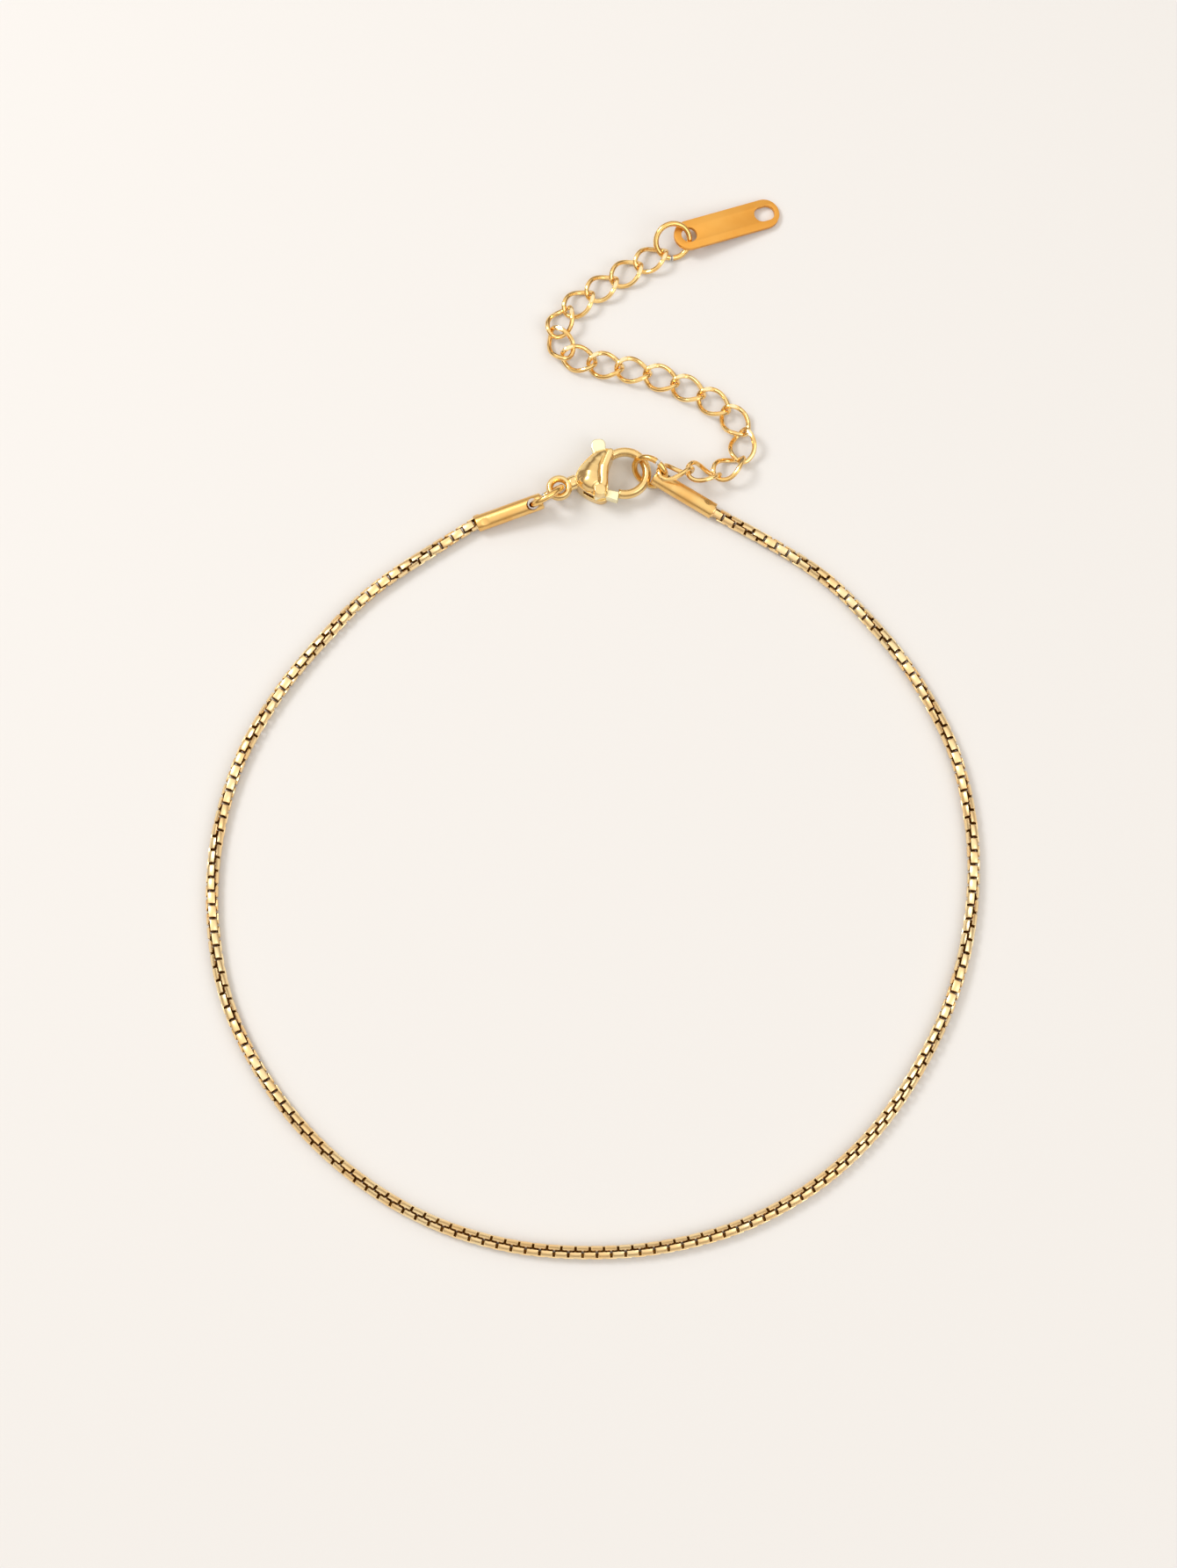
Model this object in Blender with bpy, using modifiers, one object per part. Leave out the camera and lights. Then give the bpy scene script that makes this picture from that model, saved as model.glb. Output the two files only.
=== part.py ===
import math

import bmesh
import bpy
from mathutils import Matrix, Vector

mm = 0.001

# Main chain: a round box chain, drawn here as one tube along its middle line.
chain_diameter = 1.25 * mm
chain_step = 3.1 * mm
rest_gap = 0.02 * mm
chain_in_cap = 1.1 * mm
cap_bore_gap = 0.08 * mm

# The chain's middle line on the table, chosen by hand, in mm from the middle of the loop.
# The two end caps set its first and last points.
chain_route = [
    (-21.0, 19.9), (-26.2, 14.6), (-30.8, 8.6), (-34.3, 1.9), (-36.2, -5.6), (-36.4, -13.4),
    (-34.9, -21.1), (-31.5, -28.1), (-26.8, -34.1), (-21.0, -39.0), (-14.4, -42.6), (-7.2, -44.7),
    (0.2, -45.3), (7.5, -44.7), (14.7, -42.7), (21.4, -39.1), (27.1, -34.1), (31.6, -27.9),
    (35.0, -21.0), (37.0, -13.4), (37.4, -5.5), (36.1, 2.3), (32.8, 9.6), (28.2, 16.0),
    (22.4, 21.7),
]

# End caps: a tube with the chain in one end and a cross hole for the ring near the other.
cap_diameter = 1.66 * mm
cap_length = 6.9 * mm
cap_rim = 0.16 * mm
cap_bore_depth = 4.6 * mm
cap_hole_diameter = 1.16 * mm
cap_hole_from_end = 0.95 * mm
crimp_depth = 0.09 * mm
crimp_length = 0.9 * mm
crimp_from_end = 0.45 * mm
left_cap_heading = 198.0
right_cap_heading = -30.0

# Jump rings: round wire bent to a circle, with a hairline cut.
ring_wire = 0.6 * mm
ring_radius = 1.7 * mm
ring_cut = 0.1 * mm
tag_ring_wire = 0.56 * mm
tag_ring_radius = 1.76 * mm
hole_reach = 1.55 * mm
left_ring_heading = 212.6
left_ring_lean = 20.0
left_ring_hole_drop = 0.22 * mm
left_ring_cut_at = 272.0
right_ring_spot = (6.14, 31.55)
right_ring_tilt = 61.0
right_ring_hole_at = -12.0
right_ring_link_at = 32.0
right_ring_cut_at = 76.0
tag_ring_tilt = 38.0
tag_ring_cut_at = 250.0
tag_ring_link_at = 210.0

# Lobster clasp, lying on its flat back.
clasp_spot = (3.65, 31.27)
clasp_heading = 9.4
body_thickness = 3.0 * mm
body_length = 3.8 * mm
body_width = 5.1 * mm
body_edge = 0.42 * mm
claw_radius = 2.23 * mm
claw_width = 0.84 * mm
claw_thickness = 1.08 * mm
claw_rise = 0.2 * mm
claw_root_angle = 118.0
eye_reach = 6.72 * mm
eye_drop = 0.25 * mm
eye_radius = 0.97 * mm
eye_wire = 0.62 * mm
eye_thickness = 0.98 * mm
neck_diameter = 0.9 * mm
collar_thickness = 0.5 * mm
collar_diameter = 1.3 * mm
dome_length = 2.3 * mm
dome_width = 2.9 * mm
dome_height = 0.4 * mm
strap_width = 0.74 * mm
strap_height = 0.16 * mm
lobe_diameter = 1.22 * mm

# Lever in the slot of the clasp's body, turning on a pin.
lever_thickness = 1.0 * mm
lever_side_gap = 0.08 * mm
lever_edge = 0.1 * mm
pivot_in = 2.8 * mm
pivot_drop = 1.58 * mm
pin_diameter = 0.6 * mm
pin_gap = 0.07 * mm
hub_diameter = 1.24 * mm
gate_reach = 1.86 * mm
gate_width = 0.9 * mm
gate_angle = -20.0
gate_tip_gap = 0.1 * mm
stem_width = 0.8 * mm
stem_angle = 82.3
paddle_width = 1.36 * mm
paddle_length = 1.34 * mm
paddle_reach = 5.62 * mm
slot_gap = 0.16 * mm

# Extender: curb links, each twisted a quarter turn from end to end.
link_count = 17
link_wire = 0.44 * mm
link_half_length = 1.74 * mm
link_half_width = 1.23 * mm
link_twist = -45.0
link_gap = 0.09 * mm

# The extender's middle line, chosen by hand: x and y in mm, and how far it is lifted above
# where the links rest on the table. The clasp's ring sets its first point.
extender_route = [
    (9.6, 31.6, 1.55), (12.0, 31.4, 0.5), (13.4, 31.6, 0.25), (14.8, 32.3, 0.1),
    (15.9, 35.0, 0.0), (14.7, 37.6, 0.0), (12.25, 39.5, 0.0), (9.8, 40.8, 0.0),
    (7.0, 42.0, 0.0), (4.2, 42.7, 0.0), (1.25, 43.3, 0.0), (-1.25, 43.8, 0.0),
    (-3.5, 45.2, 0.0), (-3.1, 47.6, 0.0), (-1.4, 49.8, 0.0), (1.0, 51.35, 0.0),
    (3.5, 53.0, 0.0), (5.9, 54.5, 0.0), (8.7, 55.9, 0.0),
]

# How far each link has slid back into the one before it, in mm, most at the sharp turn.
link_slack = [0, 0, 0, 0, 0, 0, 0, 0, 0, 0.12, 0.22, 0.26, 0.24, 0.07, 0, 0, 0]

# Roll of each link about its own length, in degrees.
link_rolls = [-52, -40, -30, -16, -6, -2, 2, -4, 5, -3, -10, -20, -16, -4, -4, 2, -8]

# Tag: a flat bar with round ends, one end lifted a little by its ring.
tag_length = 11.4 * mm
tag_width = 3.1 * mm
tag_thickness = 0.45 * mm
tag_edge = 0.06 * mm
tag_near_hole = 1.62 * mm
tag_far_hole_width = 1.66 * mm
tag_far_hole_length = 2.16 * mm
tag_heading = 19.4


def heading(degrees, slope=0.0):
    """Unit vector along a heading in the table's plane, rising by a slope."""
    a = math.radians(degrees)
    s = math.radians(slope)
    return Vector((math.cos(a) * math.cos(s), math.sin(a) * math.cos(s), math.sin(s)))


def frame_of(x_axis, z_axis, place):
    """Matrix of a local frame at a place, from its x axis and roughly its z axis."""
    x = x_axis.normalized()
    y = z_axis.cross(x).normalized()
    z = x.cross(y)
    turn = Matrix((x, y, z)).transposed().to_4x4()
    return Matrix.Translation(place) @ turn


def smooth_route(points, step):
    """Points a step apart along a smooth curve through the given points."""
    spots = [points[0] * 2 - points[1]] + list(points) + [points[-1] * 2 - points[-2]]
    fine = []
    for i in range(1, len(spots) - 2):
        before, start, end, after = spots[i - 1:i + 3]
        for k in range(40):
            t = k / 40
            fine.append(0.5 * (2 * start + (end - before) * t
                               + (2 * before - 5 * start + 4 * end - after) * t ** 2
                               + (3 * start - before - 3 * end + after) * t ** 3))
    fine.append(points[-1].copy())
    reach = [0.0]
    for a, b in zip(fine, fine[1:]):
        reach.append(reach[-1] + (b - a).length)
    count = max(2, round(reach[-1] / step))
    out = []
    j = 0
    for i in range(count + 1):
        want = reach[-1] * i / count
        while j < len(fine) - 2 and reach[j + 1] < want:
            j += 1
        share = (want - reach[j]) / (reach[j + 1] - reach[j])
        out.append(fine[j].lerp(fine[j + 1], share))
    return out


def material(name, colour, roughness):
    made = bpy.data.materials.new(name)
    made.use_nodes = True
    shader = made.node_tree.nodes["Principled BSDF"]
    shader.inputs["Base Color"].default_value = (*colour, 1.0)
    shader.inputs["Metallic"].default_value = 1.0
    shader.inputs["Roughness"].default_value = roughness
    return made


def place(obj, collection, parent=None, matrix=None):
    """Puts an object in its collection, under its parent, at a matrix of the parent's frame."""
    for holder in list(obj.users_collection):
        holder.objects.unlink(obj)
    collection.objects.link(obj)
    obj.parent = parent
    if matrix is not None:
        obj.matrix_local = matrix
    return obj


def wire_curve(name, points, radius, resolution, closed):
    """Round wire along the given points: a poly spline with 4 + 2 * resolution sides."""
    curve = bpy.data.curves.new(name, "CURVE")
    curve.dimensions = "3D"
    curve.bevel_depth = radius
    curve.bevel_resolution = resolution
    curve.use_fill_caps = True
    spline = curve.splines.new("POLY")
    spline.points.add(len(points) - 1)
    for point, spot in zip(spline.points, points):
        point.co = (*spot, 1.0)
    spline.use_cyclic_u = closed
    spline.use_smooth = True
    return curve


def flat_curve(name, outlines, thickness):
    """Flat outline, with holes where outlines lie inside one another, of a thickness."""
    curve = bpy.data.curves.new(name, "CURVE")
    curve.dimensions = "2D"
    curve.fill_mode = "BOTH"
    curve.extrude = thickness / 2
    for outline in outlines:
        spline = curve.splines.new("POLY")
        spline.points.add(len(outline) - 1)
        for point, (x, y) in zip(spline.points, outline):
            point.co = (x, y, 0.0, 1.0)
        spline.use_cyclic_u = True
    return curve


def as_mesh(name, curve):
    """Mesh of a curve, its caps welded and the curve removed."""
    obj = bpy.data.objects.new(name + "_curve", curve)
    bpy.context.scene.collection.objects.link(obj)
    graph = bpy.context.evaluated_depsgraph_get()
    mesh = bpy.data.meshes.new_from_object(obj.evaluated_get(graph))
    welded = bmesh.new()
    welded.from_mesh(mesh)
    bmesh.ops.remove_doubles(welded, verts=welded.verts, dist=0.001 * mm)
    bmesh.ops.recalc_face_normals(welded, faces=welded.faces)
    welded.to_mesh(mesh)
    welded.free()
    made = bpy.data.objects.new(name, mesh)
    made.matrix_world = obj.matrix_world
    bpy.data.objects.remove(obj, do_unlink=True)
    return made


def cylinder(name, diameter, length, sides=32):
    """Closed cylinder about its own z axis, its middle at the origin."""
    mesh = bpy.data.meshes.new(name)
    made = bmesh.new()
    bmesh.ops.create_cone(made, cap_ends=True, segments=sides, radius1=diameter / 2,
                          radius2=diameter / 2, depth=length)
    made.to_mesh(mesh)
    made.free()
    return bpy.data.objects.new(name, mesh)


def ellipsoid(name, size, columns=24, rows=12):
    mesh = bpy.data.meshes.new(name)
    made = bmesh.new()
    bmesh.ops.create_uvsphere(made, u_segments=columns, v_segments=rows, radius=0.5)
    bmesh.ops.scale(made, vec=size, verts=made.verts)
    made.to_mesh(mesh)
    made.free()
    return bpy.data.objects.new(name, mesh)


def join_or_cut(obj, other, operation):
    """Boolean with a helper that the render leaves out."""
    other.hide_render = True
    other.display_type = "WIRE"
    step = obj.modifiers.new(operation.lower() + "_" + other.name, "BOOLEAN")
    step.operation = operation
    step.solver = "EXACT"
    step.object = other


def round_edges(obj, width, segments=2, angle=35.0):
    step = obj.modifiers.new("rounded_edges", "BEVEL")
    step.width = width
    step.segments = segments
    step.limit_method = "ANGLE"
    step.angle_limit = math.radians(angle)


def finish(obj, look, angle=40.0):
    if not obj.data.materials:
        obj.data.materials.append(look)
    obj.data.shade_smooth()
    obj.data.set_sharp_from_angle(angle=math.radians(angle))


def arc(radius, start, end, count, centre=(0.0, 0.0)):
    """Points of an arc, angles in degrees."""
    spots = []
    for i in range(count):
        a = math.radians(start + (end - start) * i / (count - 1))
        spots.append((centre[0] + radius * math.cos(a), centre[1] + radius * math.sin(a)))
    return spots


def smooth_outline(points, per_side):
    """Closed smooth outline through the given points."""
    spots = [Vector((x, y, 0.0)) for x, y in points]
    count = len(spots)
    out = []
    for i in range(count):
        before, start, end, after = (spots[(i + k) % count] for k in (-1, 0, 1, 2))
        for k in range(per_side):
            t = k / per_side
            spot = 0.5 * (2 * start + (end - before) * t
                          + (2 * before - 5 * start + 4 * end - after) * t ** 2
                          + (3 * start - before - 3 * end + after) * t ** 3)
            out.append((spot.x, spot.y))
    return out


for old in list(bpy.data.objects):
    bpy.data.objects.remove(old, do_unlink=True)

scene = bpy.context.scene
parts = bpy.data.collections.new("chain_anklet")
helpers = bpy.data.collections.new("chain_anklet_cutters")
scene.collection.children.link(parts)
scene.collection.children.link(helpers)

layout = place(bpy.data.objects.new("layout", None), parts)

chain_gold = material("chain_gold", (0.85, 0.60, 0.24), 0.22)
ring_gold = material("ring_gold", (0.88, 0.58, 0.20), 0.16)
link_gold = material("link_gold", (0.89, 0.57, 0.21), 0.16)
cap_gold = material("cap_gold", (0.83, 0.54, 0.20), 0.34)
clasp_gold = material("clasp_gold", (0.90, 0.66, 0.27), 0.12)
lever_gold = material("lever_gold", (0.96, 0.88, 0.50), 0.18)
tag_gold = material("tag_gold", (0.87, 0.49, 0.13), 0.42)

# Clasp: its own frame has x along the clasp, the origin at the middle of the hoop, z up,
# halfway through the body's thickness.

clasp_matrix = frame_of(heading(clasp_heading), Vector((0, 0, 1)),
                        Vector((clasp_spot[0] * mm, clasp_spot[1] * mm, body_thickness / 2)))
clasp_frame = place(bpy.data.objects.new("clasp_frame", None), parts, layout, clasp_matrix)

pivot = Vector((-pivot_in, -pivot_drop, 0.0))
slot_height = lever_thickness + 2 * lever_side_gap

# Body outline, clockwise from the top of the claw's root, as shares of the body's length
# and width, measured from its inner edge and from the clasp's middle line.
body_outline = [
    (0.11, 0.518), (-0.04, 0.522), (-0.24, 0.500), (-0.45, 0.408), (-0.65, 0.294), (-0.80, 0.176),
    (-0.88, 0.069), (-0.88, -0.049), (-0.81, -0.157), (-0.65, -0.275), (-0.48, -0.367), (-0.31, -0.422),
    (-0.17, -0.402), (-0.12, -0.333), (-0.09, -0.216), (-0.06, -0.059), (-0.01, 0.118), (0.06, 0.265),
    (0.16, 0.382), (0.19, 0.461),
]
inner_edge = claw_radius - claw_width / 2 - 0.22 * mm
body_spots = [(x * body_length - inner_edge, y * body_width) for x, y in body_outline]
body = as_mesh("clasp_body", flat_curve("clasp_body", [smooth_outline(body_spots, 2)],
                                        body_thickness))
place(body, parts, clasp_frame, Matrix())
round_edges(body, body_edge, 3, 50.0)

# Slot for the lever: everything between the cheeks but the neck, the claw's root and the pin.
stem_edge = heading(stem_angle).cross(Vector((0, 0, 1)))
root_line = pivot + stem_edge * (stem_width / 2 + slot_gap)
root_low = root_line + heading(stem_angle) * (0.50 * body_width)
root_high = root_line + heading(stem_angle) * (1.1 * body_width)
neck_side = -inner_edge - 0.74 * body_length
slot_spots = [
    (neck_side, -body_width), (-inner_edge + 0.12 * body_length, -body_width),
    (-inner_edge + 0.12 * body_length, root_low.y), (root_low.x, root_low.y),
    (root_high.x, root_high.y), (neck_side, root_high.y),
]
slot = as_mesh("slot_cutter", flat_curve("slot_cutter", [slot_spots], slot_height))
place(slot, helpers, clasp_frame, Matrix())
join_or_cut(body, slot, "DIFFERENCE")

# Claw: from its root over the hoop to the tip, cut there by an arc about the lever's pin.
claw_middle = Vector((0.0, claw_rise, 0.0))
claw_spots = [(x, y, 0.0) for x, y in arc(claw_radius, claw_root_angle, -125.0, 26,
                                          claw_middle)]
claw = as_mesh("claw_helper", wire_curve("claw_helper", claw_spots, claw_width / 2, 3, False))
place(claw, helpers, clasp_frame, Matrix.Diagonal((1, 1, claw_thickness / claw_width, 1)))
tip_cut = place(cylinder("claw_tip_cutter", 2 * (gate_reach + gate_tip_gap),
                         2 * body_thickness, 64), helpers, clasp_frame,
                Matrix.Translation(pivot))
join_or_cut(claw, tip_cut, "DIFFERENCE")
join_or_cut(body, claw, "UNION")

# Pin through the slot.
pin = place(cylinder("pin_helper", pin_diameter, slot_height + 0.4 * mm, 20), helpers,
            clasp_frame, Matrix.Translation(pivot))
join_or_cut(body, pin, "UNION")

# Neck, collar and eye.
eye_middle = Vector((-eye_reach, -eye_drop, 0.0))
neck_from = Vector((-inner_edge - 0.84 * body_length, 0.03 * body_width, 0.0))
neck_line = (eye_middle - neck_from).normalized()
neck_matrix = neck_line.to_track_quat("Z", "Y").to_matrix().to_4x4()
neck_middle = (neck_from + eye_middle - neck_line * eye_radius) / 2
neck_reach = (neck_from - eye_middle).length - eye_radius + 0.3 * mm
neck = place(cylinder("neck_helper", neck_diameter, neck_reach, 16), helpers, clasp_frame,
             Matrix.Translation(neck_middle) @ neck_matrix)
join_or_cut(body, neck, "UNION")
collar = place(cylinder("collar_helper", collar_diameter, collar_thickness, 20), helpers,
               clasp_frame, Matrix.Translation(neck_middle + neck_line * 0.06 * mm)
               @ neck_matrix)
join_or_cut(body, collar, "UNION")
eye_spots = [(x, y, 0.0) for x, y in arc(eye_radius, 0, 345, 24)]
eye = as_mesh("eye_helper", wire_curve("eye_helper", eye_spots, eye_wire / 2, 3, True))
place(eye, helpers, clasp_frame, Matrix.Translation(eye_middle)
      @ Matrix.Diagonal((1, 1, eye_thickness / eye_wire, 1)))
join_or_cut(body, eye, "UNION")

# Front: a low dome, and a strap along the hoop's side that ends in a round lobe on the pin.
front = body_thickness / 2
dome = place(ellipsoid("dome_helper", (dome_length, dome_width, 2 * dome_height)), helpers,
             clasp_frame, Matrix.Translation((-inner_edge - 0.50 * body_length,
                                              -0.01 * body_width, front)))
join_or_cut(body, dome, "UNION")
strap_path = [
    Vector((-inner_edge + 0.08 * body_length, 0.40 * body_width, 0.0)),
    Vector((-inner_edge - 0.05 * body_length, 0.25 * body_width, 0.0)),
    Vector((-inner_edge - 0.14 * body_length, 0.09 * body_width, 0.0)),
    Vector((-inner_edge - 0.20 * body_length, -0.10 * body_width, 0.0)),
    Vector((pivot.x, pivot.y, 0.0)),
]
strap_line = smooth_route(strap_path, 0.5 * mm)
strap_sides = []
for side in (1, -1):
    edge = []
    for i, spot in enumerate(strap_line):
        ahead = strap_line[min(i + 1, len(strap_line) - 1)] - strap_line[max(i - 1, 0)]
        across = Vector((-ahead.y, ahead.x, 0.0)).normalized() * side * strap_width / 2
        edge.append(((spot + across).x, (spot + across).y))
    strap_sides.append(edge)
strap_outline = strap_sides[0] + strap_sides[1][::-1]
strap = as_mesh("strap_helper", flat_curve("strap_helper", [strap_outline], 4 * strap_height))
place(strap, helpers, clasp_frame, Matrix.Translation((0, 0, front - strap_height)))
join_or_cut(body, strap, "UNION")
lobe = place(cylinder("lobe_helper", lobe_diameter, 4 * strap_height + 0.06 * mm, 24), helpers,
             clasp_frame, Matrix.Translation((pivot.x, pivot.y, front - strap_height)))
join_or_cut(body, lobe, "UNION")
finish(body, clasp_gold)

# Lever: hub, gate, stem and thumb paddle in one plate, its origin on the pin.
gate_way = heading(gate_angle)
gate_across = Vector((-gate_way.y, gate_way.x, 0.0))
stem_way = heading(stem_angle)
stem_across = Vector((-stem_way.y, stem_way.x, 0.0))


def lever_spot(way, across, along, side):
    spot = way * along + across * side
    return (spot.x, spot.y)


half_gate = gate_width / 2
half_stem = stem_width / 2
gate_end = math.degrees(math.asin(half_gate / gate_reach))
paddle_start = paddle_reach - paddle_length
lever_outline = (
    arc(hub_diameter / 2, stem_angle + 32, 360 + gate_angle - 40, 14)
    + arc(gate_reach, gate_angle - gate_end, gate_angle + gate_end, 7)
    + [lever_spot(gate_way, gate_across, hub_diameter * 0.56, half_gate)]
    + [lever_spot(stem_way, stem_across, hub_diameter * 0.66, -half_stem)]
    + [lever_spot(stem_way, stem_across, paddle_start - 0.3 * paddle_width, -half_stem)]
    + [lever_spot(stem_way, stem_across,
                  paddle_start + paddle_length * (1 - math.cos(a)) / 2,
                  -paddle_width / 2 * math.sin(a) ** 0.55)
       for a in (math.radians(k) for k in (50, 70, 90, 110, 130, 148, 164, 176))]
    + [lever_spot(stem_way, stem_across,
                  paddle_start + paddle_length * (1 - math.cos(a)) / 2,
                  paddle_width / 2 * math.sin(a) ** 0.55)
       for a in (math.radians(k) for k in (176, 164, 148, 130, 110, 90, 70, 50))]
    + [lever_spot(stem_way, stem_across, paddle_start - 0.3 * paddle_width, half_stem)]
)
pin_hole = arc(pin_diameter / 2 + pin_gap, 0, 345, 24)
lever = as_mesh("clasp_lever", flat_curve("clasp_lever", [lever_outline, pin_hole],
                                          lever_thickness))
place(lever, parts, clasp_frame, Matrix.Translation(pivot))
round_edges(lever, lever_edge, 2, 50.0)
finish(lever, lever_gold)


# Jump rings: a ring's own x axis points at the place given by an angle of 0.

def jump_ring(name, matrix, radius, wire, cut_at):
    half = math.degrees(ring_cut / 2 / radius)
    spots = [(x, y, 0.0) for x, y in arc(radius, cut_at + half, cut_at + 360 - half, 29)]
    ring = bpy.data.objects.new(name, wire_curve(name, spots, wire / 2, 2, False))
    place(ring, parts, layout, matrix)
    ring.data.materials.append(ring_gold)
    return ring


def end_cap(name, hole, way, hole_line):
    """End cap whose cross hole is at a place, its body reaching away from the ring."""
    matrix = frame_of(way, hole_line, hole)
    outer = cap_diameter / 2
    bore = chain_diameter / 2 + cap_bore_gap
    near = -cap_hole_from_end
    far = cap_length - cap_hole_from_end
    profile = [
        (0.0, near), (outer - cap_rim, near), (outer, near + cap_rim),
        (outer, far - cap_rim / 2), (outer - cap_rim / 2, far), (bore, far),
        (bore, far - cap_bore_depth), (0.0, far - cap_bore_depth - bore / 2),
    ]
    mesh = bpy.data.meshes.new(name)
    made = bmesh.new()
    spots = [made.verts.new((radius, 0.0, -along)) for radius, along in profile]
    for a, b in zip(spots, spots[1:]):
        made.edges.new((a, b))
    made.to_mesh(mesh)
    made.free()
    cap = bpy.data.objects.new(name, mesh)
    lay = Matrix.Rotation(math.radians(90), 4, "Y").inverted()
    place(cap, parts, layout, matrix @ lay)
    turn = cap.modifiers.new("turned", "SCREW")
    turn.axis = "Z"
    turn.steps = 24
    turn.render_steps = 24
    turn.use_merge_vertices = True
    turn.merge_threshold = 0.001 * mm
    hole_cut = place(cylinder(name + "_hole_cutter", cap_hole_diameter, 2 * cap_diameter, 24),
                     helpers, layout, matrix)
    join_or_cut(cap, hole_cut, "DIFFERENCE")
    crimp_middle = far - crimp_from_end - crimp_length / 2
    crimp_radius = (crimp_length ** 2 / 4 + crimp_depth ** 2) / (2 * crimp_depth)
    for k, side in enumerate((1, -1)):
        dent = cylinder(name + "_crimp_cutter_" + str(k + 1), 2 * crimp_radius,
                        2 * cap_diameter, 72)
        lift = side * (outer - crimp_depth + crimp_radius)
        place(dent, helpers, layout, matrix @ Matrix.Translation((crimp_middle, 0.0, lift))
              @ Matrix.Rotation(math.radians(90), 4, "X"))
        join_or_cut(cap, dent, "DIFFERENCE")
    finish(cap, cap_gold, 30.0)
    return [matrix @ Vector((far - chain_in_cap + reach, 0.0, 0.0))
            for reach in (0.0, chain_in_cap, 1.6 * chain_in_cap)]


def cap_slope(hole):
    """Slope that brings the cap's far end down to the table."""
    drop = hole.z - cap_diameter / 2
    return -math.degrees(math.asin(drop / (cap_length - cap_hole_from_end)))


# Left ring: stands on the table through the clasp's eye and the left cap.
eye_place = clasp_matrix @ eye_middle
left_way = heading(left_ring_heading)
left_side = Vector((0, 0, 1)).cross(left_way)
left_up = (Vector((0, 0, 1)) * math.cos(math.radians(left_ring_lean))
           + left_side * math.sin(math.radians(left_ring_lean)))
left_rise = (ring_radius * math.cos(math.radians(left_ring_lean)) + ring_wire / 2)
left_middle = Vector((eye_place.x, eye_place.y, left_rise)) + left_way * hole_reach
left_middle += left_side * math.sin(math.radians(left_ring_lean)) * (left_rise - eye_place.z)
jump_ring("jump_ring_left", frame_of(left_way, left_way.cross(left_up), left_middle),
          ring_radius, ring_wire, left_ring_cut_at)
left_hole = left_middle + left_way * hole_reach - left_up * left_ring_hole_drop
left_run = end_cap("end_cap_left", left_hole,
                   heading(left_cap_heading, cap_slope(left_hole)), left_up)

# Right ring: leans over the claw, through the right cap, with the extender's first link.
tilt = math.radians(right_ring_tilt)
right_flat = heading(right_cap_heading)
right_back = Vector((0, 0, 1)).cross(right_flat)
right_up = right_back * math.cos(tilt) + Vector((0, 0, 1)) * math.sin(tilt)
right_rise = ring_radius * math.sin(tilt) + ring_wire / 2
right_middle = Vector((right_ring_spot[0] * mm, right_ring_spot[1] * mm, right_rise))
right_matrix = frame_of(right_flat, right_flat.cross(right_up), right_middle)
jump_ring("jump_ring_right", right_matrix, ring_radius, ring_wire, right_ring_cut_at)


def on_right_ring(radius, degrees):
    a = math.radians(degrees)
    return right_matrix @ Vector((radius * math.cos(a), radius * math.sin(a), 0.0))


right_hole = on_right_ring(hole_reach, right_ring_hole_at)
right_way = heading(right_cap_heading, cap_slope(right_hole))
right_run = end_cap("end_cap_right", right_hole, right_way, right_up)

# Main chain, from inside the left cap round to inside the right cap.
chain_z = chain_diameter / 2 + rest_gap
chain_points = left_run + [Vector((x * mm, y * mm, chain_z)) for x, y in chain_route]
chain_points += right_run[::-1]
chain_line = smooth_route(chain_points, chain_step)
chain = bpy.data.objects.new("main_chain", wire_curve("main_chain", chain_line,
                                                      chain_diameter / 2, 2, False))
place(chain, parts, layout, Matrix())
chain.data.materials.append(chain_gold)

# Extender links, from the clasp's ring to the tag's ring.
link_spots = []
for i in range(16):
    around = 2 * math.pi * (i + 0.5) / 16
    x = link_half_length * math.cos(around)
    across = link_half_width * math.sin(around)
    twist = math.radians(link_twist) * x / link_half_length
    link_spots.append((x, across * math.cos(twist), across * math.sin(twist)))
link_curve = wire_curve("extender_link", link_spots, link_wire / 2, 1, True)
link_curve.materials.append(link_gold)
link_rest = max(z for x, y, z in link_spots) + link_wire / 2
tip_overlap = link_wire + link_gap
link_pitch = 2 * link_half_length - tip_overlap
ring_to_tip = ring_wire / 2 + link_wire / 2 + link_gap
way_points = [Vector((x * mm, y * mm, lift * mm + link_rest))
              for x, y, lift in extender_route]
hung_on = on_right_ring(ring_radius, right_ring_link_at)
first_tip = hung_on + (hung_on - way_points[0]).normalized() * ring_to_tip
way_points.insert(0, first_tip)
extender_line = smooth_route(way_points, 0.05 * mm)


def next_joint(joint, reach, start):
    """The first place on the line, after a start, that is a reach away from a joint."""
    for i in range(start, len(extender_line) - 1):
        if (extender_line[i + 1] - joint).length >= reach:
            near = (extender_line[i] - joint).length
            far = (extender_line[i + 1] - joint).length
            share = (reach - near) / (far - near)
            return extender_line[i].lerp(extender_line[i + 1], share), i
    last = extender_line[-1] - extender_line[-2]
    return joint + last.normalized() * reach, len(extender_line) - 1


joint, index = next_joint(first_tip, tip_overlap / 2, 0)
for n in range(link_count):
    ahead, index = next_joint(joint, link_pitch - link_slack[n % len(link_slack)] * mm, index)
    way = ahead - joint
    roll = link_rolls[n % len(link_rolls)]
    lay = (frame_of(way, Vector((0, 0, 1)), (joint + ahead) / 2)
           @ Matrix.Rotation(math.radians(roll), 4, "X"))
    lowest = min((lay @ Vector(spot)).z for spot in link_spots) - link_wire / 2
    if lowest < rest_gap:
        lay = Matrix.Translation((0.0, 0.0, rest_gap - lowest)) @ lay
    link = bpy.data.objects.new("extender_link_%02d" % (n + 1), link_curve)
    place(link, parts, layout, lay)
    joint = ahead
last_way = way.normalized()

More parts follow.
